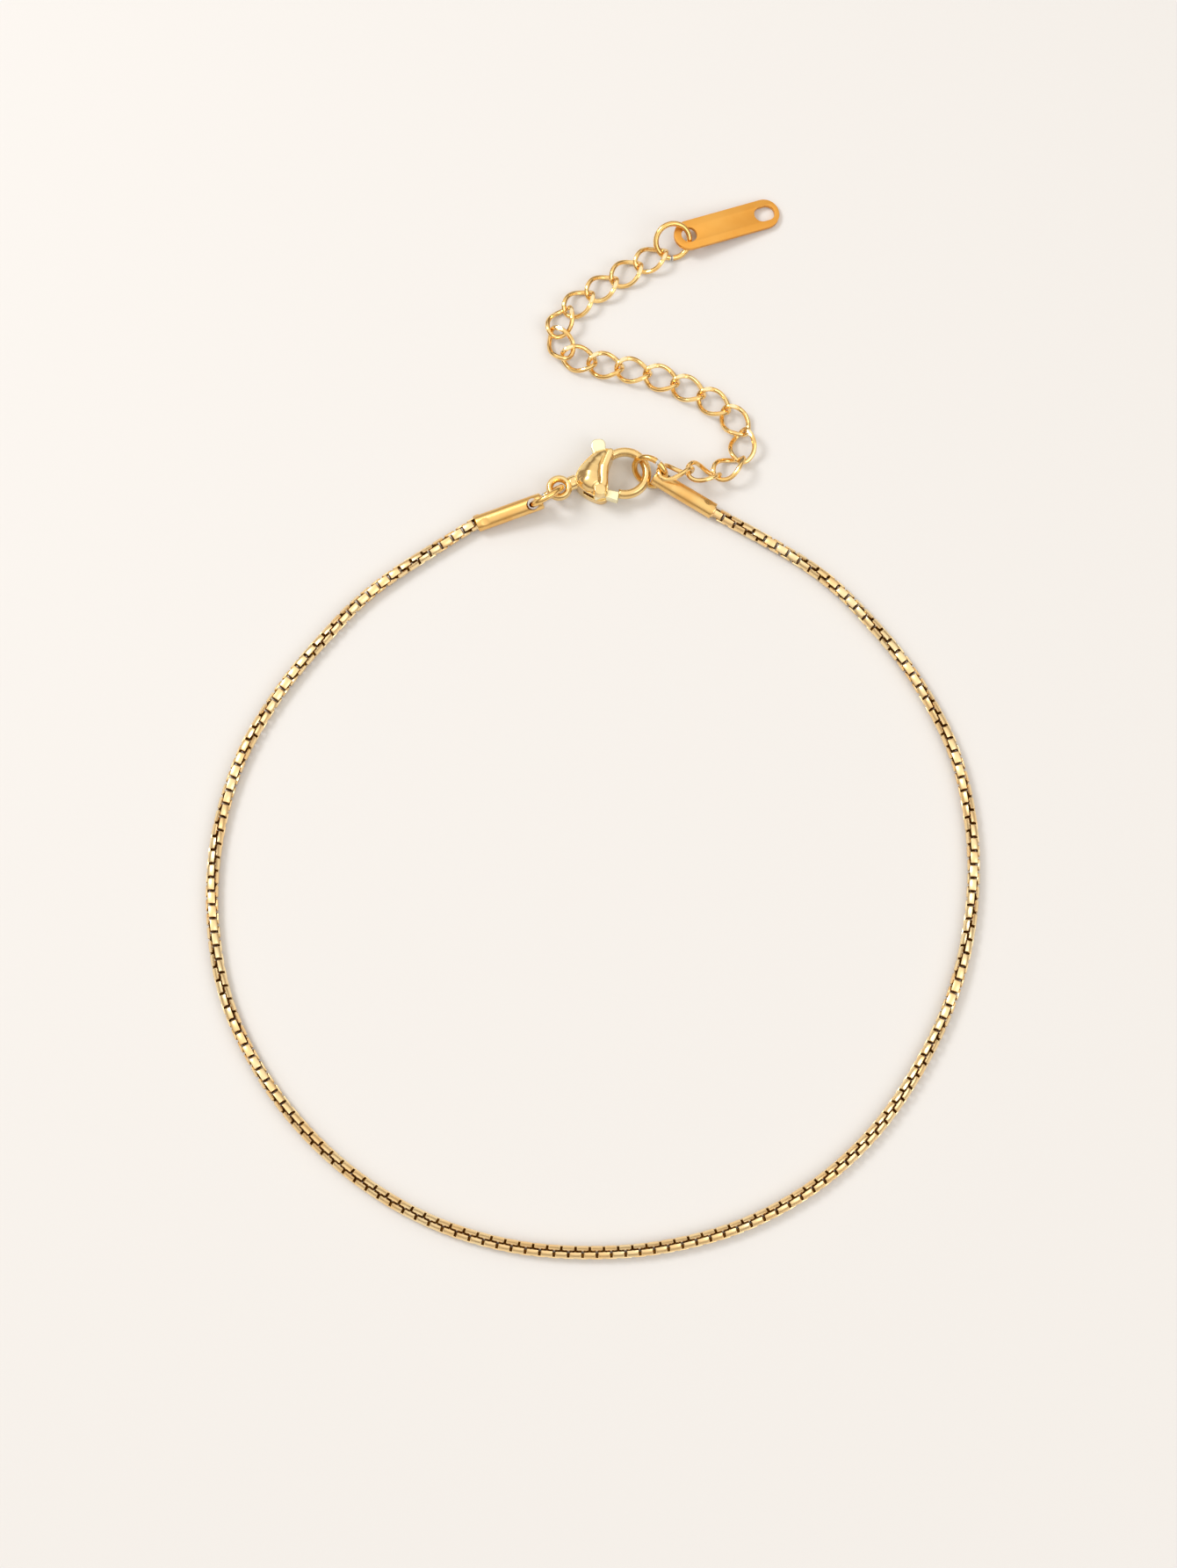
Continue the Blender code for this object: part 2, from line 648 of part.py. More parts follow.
# Tag's ring, lifted on its far side by the tag that it carries.
tag_tilt = math.radians(tag_ring_tilt)
tag_flat = heading(tag_heading)
tag_back = Vector((0, 0, 1)).cross(tag_flat)
tag_up = tag_back * math.cos(tag_tilt) + Vector((0, 0, 1)) * math.sin(tag_tilt)
last_tip = joint + last_way * tip_overlap / 2
ring_in_link = last_tip - last_way * (tag_ring_wire / 2 + link_wire / 2 + link_gap)
held_at = math.radians(tag_ring_link_at)
tag_middle = ring_in_link - (tag_flat * math.cos(held_at)
                             + tag_up * math.sin(held_at)) * tag_ring_radius
tag_middle.z = tag_ring_radius * math.sin(tag_tilt) + tag_ring_wire / 2
jump_ring("jump_ring_tag", frame_of(tag_flat, tag_flat.cross(tag_up), tag_middle),
          tag_ring_radius, tag_ring_wire, tag_ring_cut_at)

# Tag: its own x axis runs from the near end to the far end.
tag_half = tag_width / 2
straight = tag_length - tag_width
tag_edge_line = (arc(tag_half, 90, 270, 17) + arc(tag_half, -90, 90, 17, (straight, 0.0)))
near_hole = arc(tag_near_hole / 2, 0, 345, 24)
far_half = (tag_far_hole_length - tag_far_hole_width) / 2
far_hole = (arc(tag_far_hole_width / 2, 90, 270, 13, (straight - far_half, 0.0))
            + arc(tag_far_hole_width / 2, -90, 90, 13, (straight + far_half, 0.0)))
tag_place = tag_middle + tag_flat * tag_ring_radius
tag_slope = math.degrees(math.asin((tag_place.z - tag_thickness / 2 - rest_gap)
                                   / (straight + tag_half)))
tag = as_mesh("tag", flat_curve("tag", [tag_edge_line, near_hole, far_hole], tag_thickness))
tag_way = heading(tag_heading, -tag_slope)
place(tag, parts, layout, frame_of(tag_way, Vector((0, 0, 1)), tag_place))
round_edges(tag, tag_edge, 1, 50.0)
finish(tag, tag_gold)

# The origin goes to the middle of the whole anklet, on the table.
bpy.context.view_layer.update()
graph = bpy.context.evaluated_depsgraph_get()
low = Vector((1.0, 1.0, 1.0))
high = Vector((-1.0, -1.0, -1.0))
for obj in parts.objects:
    if obj.type == "EMPTY":
        continue
    solid = obj.evaluated_get(graph)
    made = solid.to_mesh()
    for vertex in made.vertices:
        spot = solid.matrix_world @ vertex.co
        low = Vector(map(min, low, spot))
        high = Vector(map(max, high, spot))
    solid.to_mesh_clear()
layout.location = (-(low.x + high.x) / 2, -(low.y + high.y) / 2, -low.z)
bpy.context.view_layer.update()
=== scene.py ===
import math

import bmesh
import bpy
import numpy as np
from mathutils import Matrix, Vector


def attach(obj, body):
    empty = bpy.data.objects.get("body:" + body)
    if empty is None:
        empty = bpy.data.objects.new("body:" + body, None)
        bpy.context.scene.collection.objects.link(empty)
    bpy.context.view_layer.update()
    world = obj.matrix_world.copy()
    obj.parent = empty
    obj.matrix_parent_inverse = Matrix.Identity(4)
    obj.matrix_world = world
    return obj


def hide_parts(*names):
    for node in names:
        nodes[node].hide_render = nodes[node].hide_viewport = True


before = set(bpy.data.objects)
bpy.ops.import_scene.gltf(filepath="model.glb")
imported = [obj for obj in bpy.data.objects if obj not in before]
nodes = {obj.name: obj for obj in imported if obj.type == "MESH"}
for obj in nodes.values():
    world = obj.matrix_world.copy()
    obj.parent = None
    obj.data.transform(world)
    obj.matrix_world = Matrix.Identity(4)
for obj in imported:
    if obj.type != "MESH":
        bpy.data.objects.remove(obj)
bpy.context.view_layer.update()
scene = bpy.context.scene

mm = 0.001
layoutShift = Vector((-0.4694, -7.6840, 0.0)) * mm  # the part's box is centred on the origin

print("camera, floor and lights")

photo = {"height": 1785, "lens": 60.0, "sensor": 36.0, "mmPerPixel": 0.0862,
         "tiltFromVertical": 12.0}

cameraData = bpy.data.cameras.new("camera")
cameraData.lens = photo["lens"]
cameraData.sensor_width = photo["sensor"]
cameraData.clip_start = 0.01
cameraData.clip_end = 10.0
camera = bpy.data.objects.new("camera", cameraData)
scene.collection.objects.link(camera)
tilt = math.radians(photo["tiltFromVertical"])
cameraReach = photo["mmPerPixel"] * mm * photo["lens"] / photo["sensor"] * photo["height"]
camera.location = layoutShift + Vector((0.0, -math.sin(tilt), math.cos(tilt))) * cameraReach
camera.rotation_euler = (tilt, 0.0, 0.0)
scene.camera = camera
scene.view_settings.view_transform = "Standard"

# Sky colours by height, from 0 at the horizon to 1 overhead: darkest just above the horizon, so
# that polished metal shows dark flanks. The camera itself sees the backdrop in its place.
studio = {
    "sky": [(0.0, (0.66, 0.57, 0.48)), (0.12, (0.17, 0.12, 0.08)), (0.30, (0.34, 0.28, 0.22)),
            (0.60, (0.99, 0.92, 0.83)), (1.0, (1.16, 1.11, 1.04))],
    "backdrop": (0.93, 0.91, 0.88),
    "key": {"spot": (-0.315, 0.18, 0.405), "size": 0.19, "power": 1.20},
    "fill": {"spot": (0.26, -0.16, 0.30), "size": 0.30, "power": 0.32},
    "floorColour": (0.712, 0.708, 0.708), "floorSize": 1.6,
}

world = bpy.data.worlds.new("softStudio")
world.use_nodes = True
worldTree = world.node_tree
skyPlace = worldTree.nodes.new("ShaderNodeTexCoord")
skyHeight = worldTree.nodes.new("ShaderNodeSeparateXYZ")
skyRamp = worldTree.nodes.new("ShaderNodeValToRGB")
worldTree.links.new(skyPlace.outputs["Generated"], skyHeight.inputs["Vector"])
worldTree.links.new(skyHeight.outputs["Z"], skyRamp.inputs["Fac"])
while len(skyRamp.color_ramp.elements) < len(studio["sky"]):
    skyRamp.color_ramp.elements.new(0.5)
for stop, (height, colour) in zip(skyRamp.color_ramp.elements, studio["sky"]):
    stop.position = height
    stop.color = (*colour, 1.0)
skySeen = worldTree.nodes.new("ShaderNodeLightPath")
skyMix = worldTree.nodes.new("ShaderNodeMixRGB")
worldTree.links.new(skySeen.outputs["Is Camera Ray"], skyMix.inputs["Fac"])
worldTree.links.new(skyRamp.outputs["Color"], skyMix.inputs["Color1"])
skyMix.inputs["Color2"].default_value = (*studio["backdrop"], 1.0)
worldTree.links.new(skyMix.outputs["Color"], worldTree.nodes["Background"].inputs["Color"])
scene.world = world

for lampName in ("key", "fill"):
    lamp = studio[lampName]
    lampData = bpy.data.lights.new(lampName, "AREA")
    lampData.shape = "DISK"
    lampData.size = lamp["size"]
    lampData.energy = lamp["power"]
    lampObject = bpy.data.objects.new(lampName, lampData)
    scene.collection.objects.link(lampObject)
    lampObject.location = lamp["spot"]
    lampObject.rotation_euler = (-Vector(lamp["spot"])).to_track_quat("-Z", "Y").to_euler()


def socketOf(owner, name):
    # Input or output of a node by its name, the first that is enabled.
    return next(s for s in owner if s.name == name and s.enabled)


print("shader groups")


def newGroup(name, inputs, outputs):
    group = bpy.data.node_groups.new(name, "ShaderNodeTree")
    for label, kind, value in inputs:
        socket = group.interface.new_socket(name=label, in_out="INPUT", socket_type=kind)
        socket.default_value = value
    for label, kind in outputs:
        group.interface.new_socket(name=label, in_out="OUTPUT", socket_type=kind)
    return group, group.nodes.new("NodeGroupInput"), group.nodes.new("NodeGroupOutput")


def millimetreSpace(group):
    # Object coordinates in millimetres, so that every scale below reads per millimetre.
    where = group.nodes.new("ShaderNodeTexCoord")
    grow = group.nodes.new("ShaderNodeVectorMath")
    grow.operation = "SCALE"
    grow.inputs["Scale"].default_value = 1000.0
    group.links.new(where.outputs["Object"], grow.inputs[0])
    return grow.outputs["Vector"]


def goldToneGroup():
    group, given, made = newGroup(
        "goldTone",
        [("Light Gold", "NodeSocketColor", (1, 1, 1, 1)),
         ("Deep Gold", "NodeSocketColor", (1, 1, 1, 1)),
         ("Patch Size", "NodeSocketFloat", 1.0), ("Roughness", "NodeSocketFloat", 0.2),
         ("Roughness Spread", "NodeSocketFloat", 0.05)],
        [("Colour", "NodeSocketColor"), ("Roughness", "NodeSocketFloat")])
    link = group.links.new
    space = millimetreSpace(group)
    perPatch = group.nodes.new("ShaderNodeMath")
    perPatch.operation = "DIVIDE"
    perPatch.inputs[0].default_value = 1.0
    link(given.outputs["Patch Size"], perPatch.inputs[1])
    cloud = group.nodes.new("ShaderNodeTexNoise")
    cloud.inputs["Detail"].default_value = 3.0
    link(space, cloud.inputs["Vector"])
    link(perPatch.outputs[0], cloud.inputs["Scale"])
    spread = group.nodes.new("ShaderNodeMapRange")
    spread.inputs["From Min"].default_value = 0.36
    spread.inputs["From Max"].default_value = 0.64
    link(cloud.outputs["Fac"], spread.inputs["Value"])
    blend = group.nodes.new("ShaderNodeMix")
    blend.data_type = "RGBA"
    link(spread.outputs["Result"], socketOf(blend.inputs, "Factor"))
    link(given.outputs["Light Gold"], socketOf(blend.inputs, "A"))
    link(given.outputs["Deep Gold"], socketOf(blend.inputs, "B"))
    link(socketOf(blend.outputs, "Result"), made.inputs["Colour"])
    rough = group.nodes.new("ShaderNodeMath")
    rough.operation = "MULTIPLY_ADD"
    link(spread.outputs["Result"], rough.inputs[0])
    link(given.outputs["Roughness Spread"], rough.inputs[1])
    link(given.outputs["Roughness"], rough.inputs[2])
    link(rough.outputs[0], made.inputs["Roughness"])
    return group


def polishMarksGroup():
    group, given, made = newGroup(
        "polishMarks",
        [("Grain", "NodeSocketFloat", 8.0), ("Stretch", "NodeSocketVector", (1, 1, 1)),
         ("Dent Size", "NodeSocketFloat", 1.0), ("Dent Share", "NodeSocketFloat", 0.3)],
        [("Height", "NodeSocketFloat")])
    link = group.links.new
    space = millimetreSpace(group)
    pull = group.nodes.new("ShaderNodeVectorMath")
    pull.operation = "MULTIPLY"
    link(space, pull.inputs[0])
    link(given.outputs["Stretch"], pull.inputs[1])
    lines = group.nodes.new("ShaderNodeTexNoise")
    lines.inputs["Detail"].default_value = 4.0
    lines.inputs["Roughness"].default_value = 0.65
    link(pull.outputs["Vector"], lines.inputs["Vector"])
    link(given.outputs["Grain"], lines.inputs["Scale"])
    perDent = group.nodes.new("ShaderNodeMath")
    perDent.operation = "DIVIDE"
    perDent.inputs[0].default_value = 1.0
    link(given.outputs["Dent Size"], perDent.inputs[1])
    dents = group.nodes.new("ShaderNodeTexNoise")
    dents.inputs["Detail"].default_value = 1.0
    link(space, dents.inputs["Vector"])
    link(perDent.outputs[0], dents.inputs["Scale"])
    both = group.nodes.new("ShaderNodeMix")
    link(given.outputs["Dent Share"], socketOf(both.inputs, "Factor"))
    link(lines.outputs["Fac"], socketOf(both.inputs, "A"))
    link(dents.outputs["Fac"], socketOf(both.inputs, "B"))
    link(socketOf(both.outputs, "Result"), made.inputs["Height"])
    return group


goldTone = goldToneGroup()
polishMarks = polishMarksGroup()


def metal(name, look):
    made = bpy.data.materials.new(name)
    made.use_nodes = True
    tree = made.node_tree
    shader = tree.nodes["Principled BSDF"]
    shader.inputs["Metallic"].default_value = 1.0
    tone = tree.nodes.new("ShaderNodeGroup")
    tone.node_tree = goldTone
    tone.inputs["Light Gold"].default_value = (*look["light"], 1.0)
    tone.inputs["Deep Gold"].default_value = (*look["deep"], 1.0)
    tone.inputs["Patch Size"].default_value = look["patch"]
    tone.inputs["Roughness"].default_value = look["roughness"]
    tone.inputs["Roughness Spread"].default_value = look["spread"]
    tree.links.new(tone.outputs["Colour"], shader.inputs["Base Color"])
    tree.links.new(tone.outputs["Roughness"], shader.inputs["Roughness"])
    marks = tree.nodes.new("ShaderNodeGroup")
    marks.node_tree = polishMarks
    marks.inputs["Grain"].default_value = look["grain"]
    marks.inputs["Stretch"].default_value = look.get("stretch", (1.0, 1.0, 1.0))
    marks.inputs["Dent Size"].default_value = look.get("dentSize", 0.8)
    marks.inputs["Dent Share"].default_value = look.get("dentShare", 0.3)
    bump = tree.nodes.new("ShaderNodeBump")
    bump.inputs["Strength"].default_value = look["bump"]
    bump.inputs["Distance"].default_value = 0.05 * mm
    tree.links.new(marks.outputs["Height"], bump.inputs["Height"])
    tree.links.new(bump.outputs["Normal"], shader.inputs["Normal"])
    return made


finishes = {
    "chainGold": {"light": (1.0, 0.80, 0.46), "deep": (1.0, 0.71, 0.35), "patch": 2.5,
                  "roughness": 0.28, "spread": 0.08, "grain": 7.0, "bump": 0.10},
    # Dark brown gold: painted shade, put on the chain links' inner faces, strip edges and end bars
    # and inside the caps' cross holes, where shade falls.
    "paintedShadeGold": {"light": (0.36, 0.15, 0.010), "deep": (0.24, 0.085, 0.005), "patch": 1.5,
                   "roughness": 0.45, "spread": 0.10, "grain": 7.0, "bump": 0.10},
    "ringGold": {"light": (0.92, 0.64, 0.25), "deep": (0.87, 0.54, 0.18), "patch": 1.6,
                 "roughness": 0.14, "spread": 0.08, "grain": 6.0, "bump": 0.08},
    "linkGold": {"light": (0.98, 0.71, 0.32), "deep": (0.92, 0.60, 0.22), "patch": 1.4,
                 "roughness": 0.11, "spread": 0.08, "grain": 6.0, "bump": 0.08},
    # Paler gold for the curbs' cut flats: the flats are real cut facets, and their paler colour is
    # a painted highlight.
    "cutFlatPaintedHighlightGold": {"light": (1.0, 0.86, 0.56), "deep": (0.97, 0.78, 0.44), "patch": 0.7,
                "roughness": 0.10, "spread": 0.05, "grain": 9.0, "bump": 0.04},
    "capGold": {"light": (0.90, 0.60, 0.23), "deep": (0.84, 0.50, 0.16), "patch": 2.2,
                "roughness": 0.27, "spread": 0.10, "grain": 10.0, "bump": 0.12},
    "claspGold": {"light": (0.92, 0.70, 0.34), "deep": (0.87, 0.60, 0.25), "patch": 2.6,
                  "roughness": 0.20, "spread": 0.07, "grain": 5.0, "bump": 0.07,
                  "dentSize": 1.1, "dentShare": 0.6},
    "leverGold": {"light": (1.0, 0.95, 0.66), "deep": (0.97, 0.89, 0.54), "patch": 1.2,
                  "roughness": 0.24, "spread": 0.06, "grain": 8.0, "bump": 0.06},
    "tagGold": {"light": (0.84, 0.44, 0.10), "deep": (0.80, 0.39, 0.075), "patch": 3.5,
                "roughness": 0.42, "spread": 0.08, "grain": 9.0, "bump": 0.14,
                "stretch": (0.5, 1.4, 1.0)},
    "cutSteel": {"light": (0.72, 0.72, 0.70), "deep": (0.52, 0.52, 0.50), "patch": 0.4,
                 "roughness": 0.30, "spread": 0.10, "grain": 9.0, "bump": 0.20},
}
metals = {name: metal(name, look) for name, look in finishes.items()}


def floorMaterial():
    made = bpy.data.materials.new("paleFloor")
    made.use_nodes = True
    tree = made.node_tree
    shader = tree.nodes["Principled BSDF"]
    shader.inputs["Base Color"].default_value = (*studio["floorColour"], 1.0)
    shader.inputs["Roughness"].default_value = 0.75
    shader.inputs["Specular IOR Level"].default_value = 0.25
    return made


floorMesh = bpy.data.meshes.new("floor")
half = studio["floorSize"] / 2
floorMesh.from_pydata([(-half, -half, 0), (half, -half, 0), (half, half, 0), (-half, half, 0)],
                      [], [(0, 1, 2, 3)])
floorMesh.materials.append(floorMaterial())
floor = bpy.data.objects.new("floor", floorMesh)
scene.collection.objects.link(floor)


def spotAt(x, y, z=0.0):
    # Place given in mm of the part's own layout.
    return Vector((x, y, z)) * mm + layoutShift


def frameAt(along, up, place):
    # Frame with x along a direction and z as near as may be to up.
    x = Vector(along).normalized()
    y = Vector(up).cross(x).normalized()
    turn = Matrix((x, y, x.cross(y))).transposed().to_4x4()
    return Matrix.Translation(place) @ turn


def smoothLine(points, step):
    # Points a step apart on a smooth curve through the given ones.
    spots = [points[0] * 2 - points[1]] + list(points) + [points[-1] * 2 - points[-2]]
    fine = []
    fineSteps = 40
    for i in range(1, len(spots) - 2):
        before, start, end, after = spots[i - 1:i + 3]
        for k in range(fineSteps):
            t = k / fineSteps
            fine.append(0.5 * (2 * start + (end - before) * t
                               + (2 * before - 5 * start + 4 * end - after) * t ** 2
                               + (3 * start - before - 3 * end + after) * t ** 3))
    fine.append(points[-1].copy())
    reach = [0.0]
    for a, b in zip(fine, fine[1:]):
        reach.append(reach[-1] + (b - a).length)
    count = max(2, round(reach[-1] / step))
    out = []
    j = 0
    for i in range(count + 1):
        want = reach[-1] * i / count
        while j < len(fine) - 2 and reach[j + 1] < want:
            j += 1
        share = (want - reach[j]) / (reach[j + 1] - reach[j])
        out.append(fine[j].lerp(fine[j + 1], share))
    return out


mergeDistance = 0.0005 * mm


def mergeDoubles(mesh, distance=mergeDistance, degenerate=0.0, normals=True):
    tidy = bmesh.new()
    tidy.from_mesh(mesh)
    bmesh.ops.remove_doubles(tidy, verts=tidy.verts, dist=distance)
    if degenerate:
        bmesh.ops.dissolve_degenerate(tidy, edges=tidy.edges, dist=degenerate)
    if normals:
        bmesh.ops.recalc_face_normals(tidy, faces=tidy.faces)
    tidy.to_mesh(mesh)
    tidy.free()


def meshFrom(name, vertices, faces, degenerate=0.0):
    mesh = bpy.data.meshes.new(name)
    mesh.from_pydata([tuple(v) for v in vertices], [], faces)
    mergeDoubles(mesh, degenerate=degenerate)
    return mesh


def triangleCount(obj):
    return sum(len(face.vertices) - 2 for face in obj.data.polygons)


def objectFrom(name, mesh):
    obj = bpy.data.objects.new(name, mesh)
    scene.collection.objects.link(obj)
    return obj


def smooth(mesh, angle=40.0):
    mesh.shade_smooth()
    mesh.set_sharp_from_angle(angle=math.radians(angle))


def settled(obj, name):
    # The object as its modifiers leave it, as a plain mesh at the origin.
    graph = bpy.context.evaluated_depsgraph_get()
    mesh = bpy.data.meshes.new_from_object(obj.evaluated_get(graph), depsgraph=graph)
    mesh.transform(obj.matrix_world)
    mesh.name = name
    bpy.data.objects.remove(obj, do_unlink=True)
    return objectFrom(name, mesh)


def dress(obj, body, slotName, *replaced):
    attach(obj, body)
    if replaced:
        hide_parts(*replaced)
    return obj


def tube(sections, closed):
    # Vertices and faces of a tube: each section is a list of points, one section a station.
    count = len(sections[0])
    vertices = [point for section in sections for point in section]
    faces = []
    last = len(sections) if closed else len(sections) - 1
    for i in range(last):
        a = i * count
        b = (i + 1) % len(sections) * count
        for k in range(count):
            m = (k + 1) % count
            faces.append((a + k, a + m, b + m, b + k))
    if not closed:
        faces.append(tuple(range(count))[::-1])
        faces.append(tuple(range(len(vertices) - count, len(vertices))))
    return vertices, faces


def geometryTree(name, inputs):
    tree = bpy.data.node_groups.new(name, "GeometryNodeTree")
    tree.interface.new_socket(name="Geometry", in_out="INPUT", socket_type="NodeSocketGeometry")
    tree.interface.new_socket(name="Geometry", in_out="OUTPUT", socket_type="NodeSocketGeometry")
    sockets = {label: tree.interface.new_socket(name=label, in_out="INPUT", socket_type=kind)
               for label, kind in inputs}
    return tree, sockets, tree.nodes.new("NodeGroupInput"), tree.nodes.new("NodeGroupOutput")


def attributeNode(tree, name, kind):
    node = tree.nodes.new("GeometryNodeInputNamedAttribute")
    node.data_type = kind
    node.inputs["Name"].default_value = name
    return node.outputs["Attribute"]


def linksPlaced(tree, points, given, made, turn):
    # Ends a tree: the link on each point at its turn, made real, with its two materials. The second
    # goes on faces flagged special: painted shade on the box chain, a paler gold with a painted
    # highlight on the curbs' cut flats.
    link = tree.links.new
    source = tree.nodes.new("GeometryNodeObjectInfo")
    link(given.outputs["Link"], source.inputs["Object"])
    placed = tree.nodes.new("GeometryNodeInstanceOnPoints")
    link(points, placed.inputs["Points"])
    link(source.outputs["Geometry"], placed.inputs["Instance"])
    link(turn, placed.inputs["Rotation"])
    real = tree.nodes.new("GeometryNodeRealizeInstances")
    link(placed.outputs["Instances"], real.inputs["Geometry"])
    colour = tree.nodes.new("GeometryNodeSetMaterial")
    link(real.outputs["Geometry"], colour.inputs["Geometry"])
    link(given.outputs["Metal"], colour.inputs["Material"])
    special = tree.nodes.new("GeometryNodeSetMaterial")
    link(colour.outputs["Geometry"], special.inputs["Geometry"])
    link(attributeNode(tree, "special", "BOOLEAN"), special.inputs["Selection"])
    link(given.outputs["Special Metal"], special.inputs["Material"])
    link(special.outputs["Geometry"], made.inputs["Geometry"])


def rollAbout(tree, turn, angle):
    # A turn rolled about its own x axis.
    about = tree.nodes.new("FunctionNodeAxisAngleToRotation")
    about.inputs["Axis"].default_value = (1.0, 0.0, 0.0)
    tree.links.new(angle, about.inputs["Angle"])
    rolled = tree.nodes.new("FunctionNodeRotateRotation")
    rolled.rotation_space = "LOCAL"
    tree.links.new(turn, rolled.inputs["Rotation"])
    tree.links.new(about.outputs["Rotation"], rolled.inputs["Rotate By"])
    return rolled.outputs["Rotation"]


def axesTurn(tree):
    turn = tree.nodes.new("FunctionNodeAxesToRotation")
    turn.primary_axis = "X"
    turn.secondary_axis = "Z"
    return turn


print("main chain")

# A box chain: every link is a closed strip, a quarter turn from its neighbours, and its two
# broad walls are domed so that the chain is round. Rolls are (mm along the chain, degrees).
boxChain = {
    "pitch": 0.673, "linkLength": 1.15, "outside": 0.622, "wall": 0.23, "halfStrip": 0.355,
    # Faces lying deeper than this below a link's domed top are painted dark: painted shade for the
    # gaps between links.
    "halfBar": 0.27, "looseness": 1.5, "seed": 7, "step": 0.4, "paintedShadeBelow": 0.12,
    "bendWidth": 0.93, "innerWidth": 0.94, "crease": 50.0,
    # Where the strip bends over at its end: how far each of three stations lies in from the
    # end and down from the top, outside and inside.
    "bend": [(0.12, 0.003, 0.05, 0.0), (0.035, 0.045, 0.0, 0.01), (0.0, 0.17, 0.0, 0.08)],
    "leftEnd": [(-10.0819, 26.7215, 0.9891), (-11.1171, 26.3852, 0.8300),
                (-11.7382, 26.1834, 0.7345)],
    "rightEnd": [(13.0624, 27.3730, 0.7551), (12.4945, 27.7008, 0.8300),
                 (11.5480, 28.2473, 0.9548)],
    "restHeight": 0.645,
    "route": [
        (-21.0, 19.9), (-26.2, 14.6), (-30.8, 8.6), (-34.3, 1.9), (-36.2, -5.6), (-36.4, -13.4),
        (-34.9, -21.1), (-31.5, -28.1), (-26.8, -34.1), (-21.0, -39.0), (-14.4, -42.6),
        (-7.2, -44.7), (0.2, -45.3), (7.5, -44.7), (14.7, -42.7), (21.4, -39.1), (27.1, -34.1),
        (31.6, -27.9), (35.0, -21.0), (37.0, -13.4), (37.4, -5.5), (36.1, 2.3), (32.8, 9.6),
        (28.2, 16.0), (22.4, 21.7),
    ],
    "rolls": [(0, 30), (3, 0), (12, -90), (26, -180), (36.5, -270), (50, -360), (65, -450),
              (74, -488), (85, -494), (100, -500), (115, -504), (130, -502), (140, -496),
              (146, -485), (151, -450), (164, -360), (174.5, -270), (185.5, -180), (195, -90),
              (203.5, 0), (212, 90)],
}


def boxLinkMesh(values):
    # One link: stations round its ring, each with the strip's outer and inner face.
    end = values["linkLength"] / 2
    top = values["outside"]
    wall = values["wall"]
    strip = values["halfStrip"]
    bar = values["halfBar"]
    quarter = [  # outer x, outer z, inner x, inner z, half width
        (end - back, top - down, end - wall - innerBack, top - wall - innerDown, width)
        for (back, down, innerBack, innerDown), width
        in zip(values["bend"], (strip, strip * values["bendWidth"], bar))]
    stations = (quarter
                + [(x, -z, xi, -zi, w) for x, z, xi, zi, w in reversed(quarter)]
                + [(-x, -z, -xi, -zi, w) for x, z, xi, zi, w in quarter]
                + [(-x, z, -xi, zi, w) for x, z, xi, zi, w in reversed(quarter)])
    sections = []
    for x, z, xi, zi, w in stations:
        ring = []
        for share in (-1.0, -0.5, 0.5, 1.0):
            y = share * w
            ring.append(Vector((x, y, z * math.sqrt(1.0 - (y / top) ** 2))) * mm)
        ring.append(Vector((xi, w * values["innerWidth"], zi)) * mm)
        ring.append(Vector((xi, -w * values["innerWidth"], zi)) * mm)
        sections.append(ring)
    mesh = meshFrom("boxLink", *tube(sections, True))
    # Faces lower than the domed top (inner faces, strip edges, end bars) are flagged for the dark
    # brown gold, which is painted shade for the gaps between links.
    paintedShadeFaces = mesh.attributes.new("special", "BOOLEAN", "FACE")
    for face in mesh.polygons:
        reach = math.hypot(face.center.y, face.center.z) / mm
        paintedShadeFaces.data[face.index].value = reach < top - values["paintedShadeBelow"]
    return mesh


